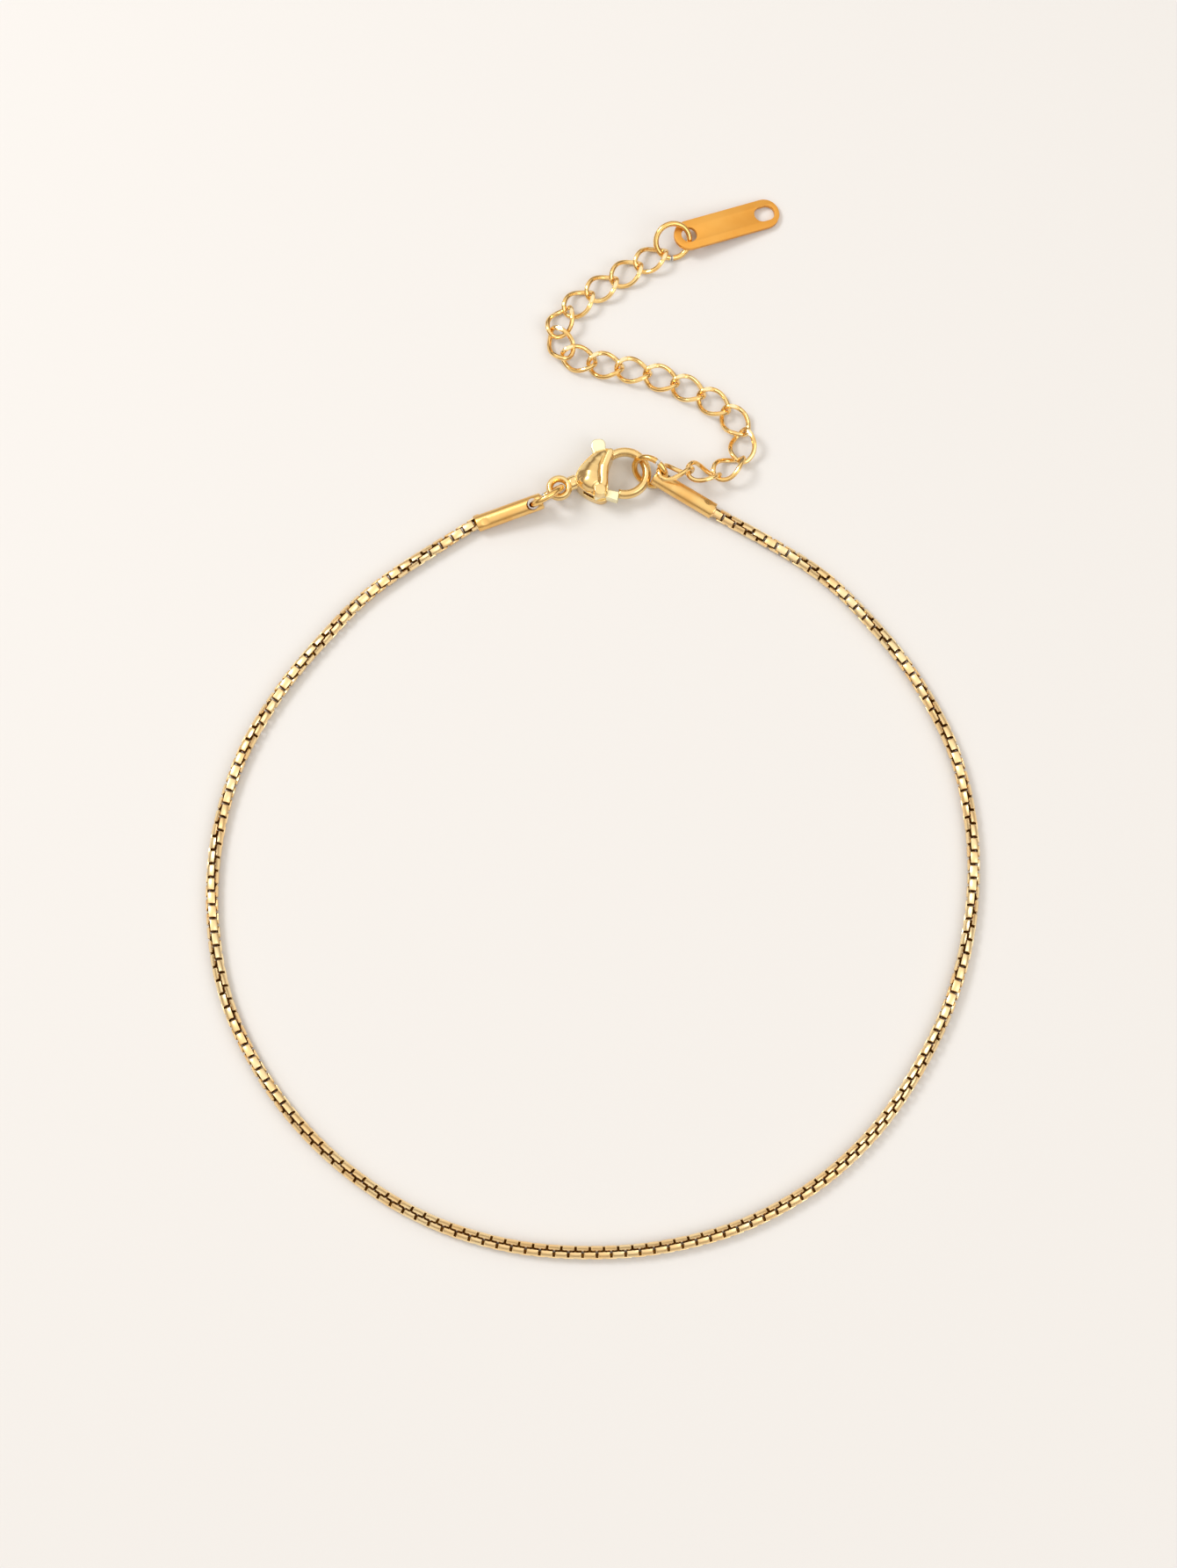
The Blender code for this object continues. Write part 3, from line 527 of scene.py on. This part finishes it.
def boxChainTree():
    tree, sockets, given, made = geometryTree("boxChainAlongRoute", [
        ("Link", "NodeSocketObject"), ("Metal", "NodeSocketMaterial"),
        ("Special Metal", "NodeSocketMaterial"), ("Pitch", "NodeSocketFloat"),
        ("Quarter Turn", "NodeSocketFloat"), ("Looseness", "NodeSocketFloat"),
        ("Seed", "NodeSocketInt")])
    link = tree.links.new
    curve = tree.nodes.new("GeometryNodeMeshToCurve")
    link(given.outputs["Geometry"], curve.inputs["Mesh"])
    points = tree.nodes.new("GeometryNodeCurveToPoints")
    points.mode = "LENGTH"
    link(curve.outputs["Curve"], points.inputs["Curve"])
    link(given.outputs["Pitch"], points.inputs["Length"])
    turn = axesTurn(tree)
    link(points.outputs["Tangent"], turn.inputs["Primary Axis"])
    turn.inputs["Secondary Axis"].default_value = (0.0, 0.0, 1.0)
    index = tree.nodes.new("GeometryNodeInputIndex")
    odd = tree.nodes.new("ShaderNodeMath")
    odd.operation = "MODULO"
    odd.inputs[1].default_value = 2.0
    link(index.outputs[0], odd.inputs[0])
    quarter = tree.nodes.new("ShaderNodeMath")
    quarter.operation = "MULTIPLY"
    link(odd.outputs[0], quarter.inputs[0])
    link(given.outputs["Quarter Turn"], quarter.inputs[1])
    rolled = tree.nodes.new("ShaderNodeMath")
    rolled.operation = "ADD"
    link(quarter.outputs[0], rolled.inputs[0])
    link(attributeNode(tree, "roll", "FLOAT"), rolled.inputs[1])
    shake = tree.nodes.new("FunctionNodeRandomValue")
    shake.data_type = "FLOAT"
    least = tree.nodes.new("ShaderNodeMath")
    least.operation = "MULTIPLY"
    least.inputs[1].default_value = -1.0
    link(given.outputs["Looseness"], least.inputs[0])
    link(least.outputs[0], socketOf(shake.inputs, "Min"))
    link(given.outputs["Looseness"], socketOf(shake.inputs, "Max"))
    link(given.outputs["Seed"], shake.inputs["Seed"])
    loose = tree.nodes.new("ShaderNodeMath")
    loose.operation = "ADD"
    link(rolled.outputs[0], loose.inputs[0])
    link(socketOf(shake.outputs, "Value"), loose.inputs[1])
    linksPlaced(tree, points.outputs["Points"], given, made,
                rollAbout(tree, turn.outputs["Rotation"], loose.outputs[0]))
    return tree, sockets


def makeBoxChain(values):
    route = [Vector(p) for p in values["leftEnd"]]
    route += [Vector((x, y, values["restHeight"])) for x, y in values["route"]]
    route += [Vector(p) for p in values["rightEnd"]]
    line = smoothLine(route, values["step"])
    reach = np.cumsum([0.0] + [(b - a).length for a, b in zip(line, line[1:])])
    rolls = np.interp(reach, *zip(*values["rolls"]))
    mesh = bpy.data.meshes.new("chainRoute")
    mesh.from_pydata([tuple(spotAt(p.x, p.y, p.z)) for p in line],
                     [(i, i + 1) for i in range(len(line) - 1)], [])
    roll = mesh.attributes.new("roll", "FLOAT", "POINT")
    roll.data.foreach_set("value", np.radians(rolls))
    routeObject = objectFrom("chainRoute", mesh)
    linkMesh = boxLinkMesh(values)
    smooth(linkMesh, values["crease"])
    linkObject = objectFrom("boxLink", linkMesh)
    tree, sockets = boxChainTree()
    step = routeObject.modifiers.new("links", "NODES")
    step.node_group = tree
    step[sockets["Link"].identifier] = linkObject
    step[sockets["Metal"].identifier] = metals["chainGold"]
    step[sockets["Special Metal"].identifier] = metals["paintedShadeGold"]
    step[sockets["Pitch"].identifier] = values["pitch"] * mm
    step[sockets["Quarter Turn"].identifier] = math.radians(90)
    step[sockets["Looseness"].identifier] = math.radians(values["looseness"])
    step[sockets["Seed"].identifier] = values["seed"]
    chain = settled(routeObject, "boxChain")
    bpy.data.objects.remove(linkObject, do_unlink=True)
    return chain


chain = makeBoxChain(boxChain)
dress(chain, "anklet", "chain_gold", "main_chain")
print("  triangles", triangleCount(chain))


print("extender links")

curbLinks = {
    "count": 17, "wire": 0.47, "halfLength": 1.74, "halfWidth": 1.23, "twist": -45.0,
    "stations": 56, "sides": 14, "flatDepth": 0.10, "cutReach": 1.2, "cutLevel": 0.995,
    "crease": 24.0,
}


def curbLinkMesh(values):
    # Twisted oval link; the strand on one side is cut flat where it rises highest.
    long = values["halfLength"]
    wide = values["halfWidth"]
    wire = values["wire"] / 2
    spots = []
    for i in range(values["stations"]):
        around = 2 * math.pi * i / values["stations"]
        x = long * math.cos(around)
        twist = math.radians(values["twist"]) * x / long
        across = wide * math.sin(around)
        spots.append(Vector((x, across * math.cos(twist), across * math.sin(twist))))
    crest = max(p.z for p in spots) + wire
    sections = []
    for i, spot in enumerate(spots):
        ahead = (spots[(i + 1) % len(spots)] - spots[i - 1]).normalized()
        out = (Vector((0, 0, 1)) - ahead * ahead.z).normalized()
        side = ahead.cross(out)
        ring = []
        for k in range(values["sides"]):
            a = 2 * math.pi * k / values["sides"]
            p = spot + out * (wire * math.cos(a)) + side * (wire * math.sin(a))
            if spot.y < 0.0 and p.z > crest - values["flatDepth"]:
                p.z = crest - values["flatDepth"]
            ring.append(p * mm)
        sections.append(ring)
    mesh = meshFrom("curbLink", *tube(sections, True))
    # The topmost faces of each cut flat are flagged for the paler gold: a real cut facet with a
    # painted highlight on it.
    cutHeight = (crest - values["cutReach"] * values["flatDepth"]) * mm
    cut = mesh.attributes.new("special", "BOOLEAN", "FACE")
    for face in mesh.polygons:
        cut.data[face.index].value = (face.center.y < 0
                                      and face.normal.z > values["cutLevel"]
                                      and face.center.z > cutHeight)
    smooth(mesh, values["crease"])
    return mesh


def curbTree():
    tree, sockets, given, made = geometryTree("linksAtPlaces", [
        ("Link", "NodeSocketObject"), ("Metal", "NodeSocketMaterial"),
        ("Special Metal", "NodeSocketMaterial")])
    link = tree.links.new
    points = tree.nodes.new("GeometryNodeMeshToPoints")
    link(given.outputs["Geometry"], points.inputs["Mesh"])
    turn = axesTurn(tree)
    link(attributeNode(tree, "along", "FLOAT_VECTOR"), turn.inputs["Primary Axis"])
    link(attributeNode(tree, "level", "FLOAT_VECTOR"), turn.inputs["Secondary Axis"])
    linksPlaced(tree, points.outputs["Points"], given, made, turn.outputs["Rotation"])
    return tree, sockets


def nodeAxes(name):
    # Middle of a node, and its long and its short direction, from its own points.
    co = np.array([v.co for v in nodes[name].data.vertices])
    axes = np.linalg.eigh(np.cov((co - co.mean(0)).T))[1]
    return Vector(co.mean(0)), Vector(axes[:, 2]), Vector(axes[:, 0])


def makeExtender(values):
    names = ["extender_link_%02d" % (n + 1) for n in range(values["count"])]
    places, along, level = [], [], []
    before = None
    for name in names:
        middle, long, short = nodeAxes(name)
        if before is not None and long.dot(middle - before) < 0:
            long = -long
        up = short if short.z > 0 else -short
        before = middle
        places.append(middle)
        along.append(long)
        level.append(up)
    mesh = bpy.data.meshes.new("linkPlaces")
    mesh.from_pydata([tuple(p) for p in places], [], [])
    for label, data in (("along", along), ("level", level)):
        made = mesh.attributes.new(label, "FLOAT_VECTOR", "POINT")
        made.data.foreach_set("vector", [c for v in data for c in v])
    holder = objectFrom("linkPlaces", mesh)
    linkObject = objectFrom("curbLink", curbLinkMesh(values))
    tree, sockets = curbTree()
    step = holder.modifiers.new("links", "NODES")
    step.node_group = tree
    step[sockets["Link"].identifier] = linkObject
    step[sockets["Metal"].identifier] = metals["linkGold"]
    step[sockets["Special Metal"].identifier] = metals["cutFlatPaintedHighlightGold"]
    made = settled(holder, "extenderLinks")
    bpy.data.objects.remove(linkObject, do_unlink=True)
    return made, names


extender, linkNames = makeExtender(curbLinks)
dress(extender, "anklet", "link_gold", *linkNames)
print("  triangles", triangleCount(extender))


print("jump rings")

jumpRings = {
    "jump_ring_left": {"middle": (-4.1715, 28.9762, 1.8975), "x": (-0.84245, -0.53877, 0.0),
                       "y": (0.18427, -0.28814, 0.93969), "radius": 1.7, "wire": 0.6,
                       "cutAt": 272.0},
    "jump_ring_right": {"middle": (6.1400, 31.5500, 1.7869), "x": (0.86603, -0.50000, 0.0),
                        "y": (0.24240, 0.41986, 0.87462), "radius": 1.7, "wire": 0.6,
                        "cutAt": 76.0},
    "jump_ring_tag": {"middle": (8.6030, 56.4110, 1.3636), "x": (0.94322, 0.33216, 0.0),
                      "y": (-0.26175, 0.74327, 0.61566), "radius": 1.76, "wire": 0.56,
                      "cutAt": 250.0},
}
ringCut = {"gap": 0.1, "stations": 96, "sides": 20, "bareLength": 0.16, "endTaper": 0.94,
           "crease": 40.0}


def makeRing(name, values):
    middle = spotAt(*values["middle"])
    x = Vector(values["x"])
    y = Vector(values["y"])
    axis = x.cross(y)
    radius = values["radius"] * mm
    half = math.degrees(ringCut["gap"] / 2 / values["radius"])
    start = values["cutAt"] + half
    sweep = 360.0 - 2 * half
    sections = []
    for i in range(ringCut["stations"] + 1):
        a = math.radians(start + sweep * i / ringCut["stations"])
        out = x * math.cos(a) + y * math.sin(a)
        fromEnd = min(i, ringCut["stations"] - i)
        wire = values["wire"] / 2 * mm * (ringCut["endTaper"] if fromEnd == 0 else 1.0)
        sections.append([middle + out * radius + (out * math.cos(b) + axis * math.sin(b)) * wire
                         for b in (2 * math.pi * k / ringCut["sides"]
                                   for k in range(ringCut["sides"]))])
    mesh = meshFrom(name, *tube(sections, False))
    mesh.materials.append(metals["ringGold"])
    mesh.materials.append(metals["cutSteel"])
    bare = math.radians(values["cutAt"])
    end = middle + (x * math.cos(bare) + y * math.sin(bare)) * radius
    for face in mesh.polygons:
        fromCut = face.center - end
        along = fromCut.dot(x * -math.sin(bare) + y * math.cos(bare))
        near = fromCut.length < values["wire"] * mm
        if near and abs(along) < ringCut["bareLength"] * mm:
            face.material_index = 1
    smooth(mesh, ringCut["crease"])
    return objectFrom(name, mesh)


for ringName, pieceName in (("jump_ring_left", "ringAtEye"), ("jump_ring_right", "ringAtClaw"),
                            ("jump_ring_tag", "ringAtTag")):
    dress(makeRing(pieceName, jumpRings[ringName]), "anklet", "ring_gold", ringName)


print("end caps")

capShape = {
    "diameter": 1.66, "length": 6.9, "rim": 0.16, "boreDepth": 4.6, "bore": 0.705,
    "holeDiameter": 1.16, "holeFromEnd": 0.95, "holeFlare": 0.07,
    "crimpDepth": 0.09, "crimpLength": 0.9, "crimpFromEnd": 0.45, "crimpSkin": 0.03,
    "sides": 72, "rows": 64, "lip": 0.02, "crease": 32.0,
    # The cross hole's cutter: where its flare starts and ends, and how far it reaches outside.
    "flareFrom": 0.62, "flareTo": 0.80, "cutterReach": 1.2, "cutterFlare": 0.35,
    "cutterSides": 48, "holeMargin": 0.01,
}
endCaps = {
    "end_cap_left": {"hole": (-5.5178, 28.2045, 1.6907), "way": (-0.94105, -0.30577, -0.14466),
                     "holeLine": (0.18427, -0.28814, 0.93969)},
    "end_cap_right": {"hole": (7.3749, 30.6566, 1.5050), "way": (0.86043, -0.49677, -0.11344),
                      "holeLine": (0.24240, 0.41986, 0.87462)},
}


def turned(name, profile, sides):
    # Closed body from a profile of (radius, along) that starts and ends on the x axis.
    sections = []
    for k in range(sides):
        a = 2 * math.pi * k / sides
        sections.append([Vector((along, radius * math.cos(a), radius * math.sin(a))) * mm
                         for radius, along in profile])
    vertices = [p for s in sections for p in s]
    count = len(profile)
    faces = []
    for i in range(sides):
        a = i * count
        b = (i + 1) % sides * count
        for k in range(count - 1):
            faces.append((a + k, a + k + 1, b + k + 1, b + k))
    return meshFrom(name, vertices, faces, degenerate=0.0001 * mm)


def roundCorner(corner, fromWay, toWay, radius, count):
    # Points that round a corner of a profile.
    corner, fromWay, toWay = Vector(corner), Vector(fromWay), Vector(toWay)
    middle = corner - fromWay * radius + toWay * radius
    out = []
    for k in range(count):
        a = math.pi / 2 * k / (count - 1)
        p = middle - toWay * radius * math.cos(a) + fromWay * radius * math.sin(a)
        out.append((p.x, p.y))
    return out


def makeCap(name, piece, values):
    shape = capShape
    outer = shape["diameter"] / 2
    near = -shape["holeFromEnd"]
    far = shape["length"] - shape["holeFromEnd"]
    bore = shape["bore"]
    rim = shape["rim"]
    profile = [(0.0, near)]
    profile += roundCorner((outer, near), (1, 0), (0, 1), rim, 6)
    steps = shape["rows"]
    lip = shape["lip"]
    start = near + rim
    end = far - rim / 2
    profile += [(outer, start + (end - start) * k / steps) for k in range(1, steps)]
    profile += roundCorner((outer, far), (0, 1), (-1, 0), rim / 3, 4)
    profile += [(bore + lip, far), (bore, far - lip), (bore, far - shape["boreDepth"]),
                (0.0, far - shape["boreDepth"] - bore / 2)]
    mesh = turned(piece, profile, shape["sides"])
    middle = far - shape["crimpFromEnd"] - shape["crimpLength"] / 2
    for vertex in mesh.vertices:
        p = vertex.co / mm
        if math.hypot(p.y, p.z) < outer - shape["crimpSkin"]:
            continue
        share = (p.x - middle) / (shape["crimpLength"] / 2)
        if abs(share) < 1.0:
            most = outer - shape["crimpDepth"] * (1.0 - share * share)
            if abs(p.z) > most:
                vertex.co.z = math.copysign(most, p.z) * mm
    cap = objectFrom(piece, mesh)
    hole = shape["holeDiameter"] / 2
    flare = shape["holeFlare"]
    reach = shape["cutterReach"]
    cutHalf = [(hole, shape["flareFrom"]), (hole + flare, shape["flareTo"]),
               (hole + shape["cutterFlare"], reach), (0.0, reach)]
    cutProfile = [(radius, -along) for radius, along in reversed(cutHalf)] + cutHalf
    cutterMesh = turned(piece + "Cutter", cutProfile, shape["cutterSides"])
    cutter = objectFrom(piece + "Cutter", cutterMesh)
    cutter.matrix_world = Matrix.Rotation(math.radians(-90), 4, "Y")
    cut = cap.modifiers.new("crossHole", "BOOLEAN")
    cut.operation = "DIFFERENCE"
    cut.solver = "EXACT"
    cut.object = cutter
    bpy.context.view_layer.update()
    made = settled(cap, piece)
    bpy.data.objects.remove(cutter, do_unlink=True)
    # Faces inside the cross hole get the dark brown gold: painted shade, so that the hole reads
    # dark instead of showing the floor through it.
    holeWall = (hole + shape["holeMargin"]) * mm
    paintedShadeInHole = [math.hypot(f.center.x, f.center.y) < holeWall for f in made.data.polygons]
    made.data.transform(frameAt(values["way"], values["holeLine"], spotAt(*values["hole"])))
    made.data.materials.clear()
    made.data.materials.append(metals["capGold"])
    made.data.materials.append(metals["paintedShadeGold"])
    made.data.polygons.foreach_set("material_index", [int(dark) for dark in paintedShadeInHole])
    smooth(made.data, shape["crease"])
    return made


for capName, pieceName in (("end_cap_left", "capAtEye"), ("end_cap_right", "capAtClaw")):
    dress(makeCap(capName, pieceName, endCaps[capName]), "anklet", "cap_gold", capName)


print("clasp")

# Relief of the clasp's front, in mm of its own frame: x along the clasp from the hoop's middle,
# z from halfway through the body. A pear-shaped dome lies beside a strap with a round lobe.
clasp = {
    "middle": (3.65, 31.27, 1.5), "heading": 9.4, "voxel": 0.05, "smoothing": 4,
    "leverVoxel": 0.045, "leverSmoothing": 3, "swell": 0.045,
    "hubSide": -2.3, "hubLow": -1.98,
    "front": 1.5, "slotTop": 0.62, "shoulder": 1.15, "shoulderDrop": 0.62,
    "outline": [(-1.17, 2.62), (-1.75, 2.66), (-2.5, 2.55), (-3.3, 2.08), (-4.05, 1.5),
                (-4.62, 0.9), (-4.92, 0.35), (-4.95, -0.25), (-4.65, -0.8), (-4.05, -1.4),
                (-3.4, -1.87), (-2.75, -2.15), (-2.25, -2.05)],
    "pear": [(-3.45, -0.30, 1.22, 0.42), (-3.25, 0.35, 1.30, 0.40), (-2.90, 1.1, 1.15, 0.26),
             (-2.60, 1.6, 0.80, 0.12)],
    "strap": [(-1.12, 2.2), (-1.55, 1.5), (-1.93, 0.85), (-2.14, 0.1), (-2.26, -0.7), (-2.5, -1.3),
              (-2.8, -1.6)],
    "strapHalf": 0.38, "strapHeight": 0.14, "lobe": (-2.8, -1.6, 0.64), "lobeHeight": 0.20,
    "edgeSoft": 0.11, "groove": 0.09, "grooveWidth": 0.11, "strapCrisp": 0.6,
    "collar": (-5.2, 0.1, 0.0), "collarWay": (-0.979, -0.204, 0.0), "collarLength": 0.62,
    "collarDiameter": 1.34, "lobeRound": 0.45, "strapRound": 0.10, "edgeOut": 0.4,
    "grooveOut": 0.05, "topShare": 1.1, "strapZone": (0.3, 0.6),
    # Down the front in -y: where the dome turns fuller, and where its groove begins.
    "domeFull": (-0.3, 0.7), "grooveFull": (0.2, 0.9),
}


def alongLine(spots, x, y):
    # Distance from places to a line of spots, and which spot of it they are beside.
    best = np.full(x.shape, 1e9)
    where = np.zeros(x.shape)
    for i, (a, b) in enumerate(zip(spots, spots[1:])):
        ax, ay, bx, by = a[0], a[1], b[0], b[1]
        t = ((x - ax) * (bx - ax) + (y - ay) * (by - ay)) / ((bx - ax) ** 2 + (by - ay) ** 2)
        t = np.clip(t, 0.0, 1.0)
        d = np.hypot(x - ax - t * (bx - ax), y - ay - t * (by - ay))
        where = np.where(d < best, i + t, where)
        best = np.minimum(d, best)
    return best, where


def softStep(value, low, high):
    t = np.clip((value - low) / (high - low), 0.0, 1.0)
    return t * t * (3.0 - 2.0 * t)


def frontHeight(values, x, y):
    # Height of the clasp's front, at places in the clasp's own frame.
    toEdge = alongLine(values["outline"], x, y)[0]
    share = np.clip(toEdge / values["shoulder"], 0.0, 1.0)
    height = values["front"] - values["shoulderDrop"] * (1.0 - np.sqrt(1.0 - (1.0 - share) ** 2))
    fromStrap = alongLine(values["strap"], x, y)[0]
    lobeX, lobeY, lobeRadius = values["lobe"]
    toLobe = np.hypot(x - lobeX, y - lobeY) - lobeRadius
    toStrap = fromStrap - values["strapHalf"]
    toBand = np.minimum(toStrap, toLobe)
    pear = values["pear"]
    fromPear, beside = alongLine(pear, x, y)
    stations = np.arange(len(pear))
    radius = np.interp(beside, stations, [p[2] for p in pear])
    rise = np.interp(beside, stations, [p[3] for p in pear])
    within = np.clip(1.0 - (fromPear / radius) ** 2, 0.0, 1.0)
    fuller = softStep(-y, *values["domeFull"])
    inPear = within ** 2 + (np.sqrt(within) - within ** 2) * fuller
    toPear = fromPear - radius
    soft = values["edgeSoft"]
    height = height + rise * inPear
    groove = np.exp(-(toPear / values["grooveWidth"]) ** 2) * softStep(-y, *values["grooveFull"])
    fromBand = toBand - values["grooveOut"]
    groove = np.maximum(groove, np.exp(-(fromBand / values["grooveWidth"]) ** 2))
    height = height - values["groove"] * groove
    lobeTop = values["front"] + values["lobeHeight"] * np.sqrt(
        np.clip(1.0 - values["lobeRound"] * ((toLobe + lobeRadius) / lobeRadius) ** 2, 0.0, 1.0))
    strapTop = (values["front"] + values["strapHeight"]
                - values["strapRound"] * np.clip(fromStrap / values["strapHalf"], 0.0, 1.0) ** 2)
    softOut = soft * values["edgeOut"]
    height = height + (strapTop - height) * (1.0 - softStep(toStrap, -soft, softOut))
    return height + (lobeTop - height) * (1.0 - softStep(toLobe, -soft, softOut))


def vertexArray(mesh, what):
    values = np.empty(3 * len(mesh.vertices), dtype=np.float32)
    mesh.vertices.foreach_get(what, values)
    return values.reshape(-1, 3)


def claspSpots(mesh):
    # Points of a mesh in mm of the clasp's own frame.
    a = math.radians(clasp["heading"])
    local = (vertexArray(mesh, "co") - np.array(spotAt(*clasp["middle"]))) / mm
    return np.stack([local[:, 0] * math.cos(a) + local[:, 1] * math.sin(a),
                     local[:, 1] * math.cos(a) - local[:, 0] * math.sin(a), local[:, 2]], 1)


def setClaspSpots(mesh, spots):
    a = math.radians(clasp["heading"])
    local = np.stack([spots[:, 0] * math.cos(a) - spots[:, 1] * math.sin(a),
                      spots[:, 0] * math.sin(a) + spots[:, 1] * math.cos(a), spots[:, 2]], 1)
    mesh.vertices.foreach_set("co", (local * mm + np.array(spotAt(*clasp["middle"]))).ravel())
    mesh.update()


def castCopy(name, piece, voxel, smoothing, metalName, change=None):
    # A node's own form, its joints and edges softened as on a casting.
    mesh = nodes[name].data.copy()
    mergeDoubles(mesh, 0.001 * mm, normals=False)
    if change:
        change(mesh, True)
    obj = objectFrom(piece, mesh)
    cast = obj.modifiers.new("cast", "REMESH")
    cast.mode = "VOXEL"
    cast.voxel_size = voxel * mm
    soft = obj.modifiers.new("soft", "SMOOTH")
    soft.factor = 0.5
    soft.iterations = smoothing
    made = settled(obj, piece)
    co = vertexArray(made.data, "co") + vertexArray(made.data, "normal") * (clasp["swell"] * mm)
    made.data.vertices.foreach_set("co", co.ravel())
    made.data.update()
    if change:
        change(made.data, False)
    made.data.materials.clear()
    made.data.materials.append(metals[metalName])
    made.data.shade_smooth()
    return made


def addCollar(mesh):
    # Adds the barrel between eye and body, which the casting then joins to them.
    a = math.radians(clasp["heading"])
    turn = (Matrix.Translation(spotAt(*clasp["middle"])) @ Matrix.Rotation(a, 4, "Z")
            @ Matrix.Translation(Vector(clasp["collar"]) * mm)
            @ Vector(clasp["collarWay"]).to_track_quat("Z", "Y").to_matrix().to_4x4())
    barrel = bmesh.new()
    barrel.from_mesh(mesh)
    bmesh.ops.create_cone(barrel, cap_ends=True, segments=32, matrix=turn,
                          radius1=clasp["collarDiameter"] / 2 * mm,
                          radius2=clasp["collarDiameter"] / 2 * mm,
                          depth=clasp["collarLength"] * mm)
    barrel.to_mesh(mesh)
    barrel.free()


def claspFront(mesh, beforeCast):
    # Levels the body's front before it is cast, then raises the relief on it.
    if beforeCast:
        addCollar(mesh)
    spots = claspSpots(mesh)
    z = spots[:, 2]
    if beforeCast:
        spots[:, 2] = np.minimum(z, clasp["front"])
    else:
        low = clasp["slotTop"]
        share = np.clip((z - low) / (clasp["front"] - low), 0.0, clasp["topShare"])
        fromStrap = alongLine(clasp["strap"], spots[:, 0], spots[:, 1])[0]
        onStrap = 1.0 - softStep(fromStrap, *clasp["strapZone"])
        share = share ** (1.0 - clasp["strapCrisp"] * onStrap)
        raised = low + share * (frontHeight(clasp, spots[:, 0], spots[:, 1]) - low)
        spots[:, 2] = np.where(share > 0.0, raised, z)
    setClaspSpots(mesh, spots)


def tuckedHub(mesh, beforeCast):
    # Keeps the lever's hub inside the body's lower edge.
    spots = claspSpots(mesh)
    spots[:, 1] = np.where(spots[:, 0] < clasp["hubSide"],
                           np.maximum(spots[:, 1], clasp["hubLow"]), spots[:, 1])
    setClaspSpots(mesh, spots)


body = castCopy("clasp_body", "claspBody", clasp["voxel"], clasp["smoothing"], "claspGold",
                claspFront)
dress(body, "anklet", "clasp_gold", "clasp_body")
lever = castCopy("clasp_lever", "claspLever", clasp["leverVoxel"], clasp["leverSmoothing"],
                 "leverGold", tuckedHub)
dress(lever, "lever", "lever_gold", "clasp_lever")
print("  triangles", triangleCount(body), triangleCount(lever))


print("tag")

tagShape = {
    "length": 11.4, "width": 3.1, "thickness": 0.45, "edge": 0.08, "nearHole": 1.62,
    "farHoleWidth": 1.66, "farHoleLength": 2.16, "middle": (10.2630, 56.9956, 1.3636),
    "way": (0.93712, 0.33001, -0.11356), "up": (0.10711, 0.03772, 0.99353),
    "crease": 40.0,
}


def arcPoints(radius, start, end, count, x=0.0):
    return [(x + radius * math.cos(math.radians(start + (end - start) * k / (count - 1))),
             radius * math.sin(math.radians(start + (end - start) * k / (count - 1))))
            for k in range(count)]


def makeTag(values):
    halfWidth = values["width"] / 2
    straight = values["length"] - values["width"]
    slot = (values["farHoleLength"] - values["farHoleWidth"]) / 2
    near = values["nearHole"] / 2
    far = values["farHoleWidth"] / 2
    outlines = [
        arcPoints(halfWidth, 90, 270, 40) + arcPoints(halfWidth, -90, 90, 40, straight),
        arcPoints(near, 0, 352.5, 48),
        arcPoints(far, 90, 270, 24, straight - slot) + arcPoints(far, -90, 90, 24, straight + slot),
    ]
    curve = bpy.data.curves.new("tag", "CURVE")
    curve.dimensions = "2D"
    curve.fill_mode = "BOTH"
    curve.extrude = values["thickness"] / 2 * mm
    for outline in outlines:
        spline = curve.splines.new("POLY")
        spline.points.add(len(outline) - 1)
        for point, (x, y) in zip(spline.points, outline):
            point.co = (x * mm, y * mm, 0.0, 1.0)
        spline.use_cyclic_u = True
    flat = settled(objectFrom("tagOutline", curve), "flatTag")
    mergeDoubles(flat.data)
    edge = flat.modifiers.new("edge", "BEVEL")
    edge.width = values["edge"] * mm
    edge.segments = 3
    edge.limit_method = "ANGLE"
    edge.angle_limit = math.radians(50)
    made = settled(flat, "flatBarTag")
    made.data.transform(frameAt(values["way"], values["up"], spotAt(*values["middle"])))
    made.data.materials.clear()
    made.data.materials.append(metals["tagGold"])
    smooth(made.data, values["crease"])
    return made


dress(makeTag(tagShape), "anklet", "tag_gold", "tag")

print("closing")
bpy.context.view_layer.update()
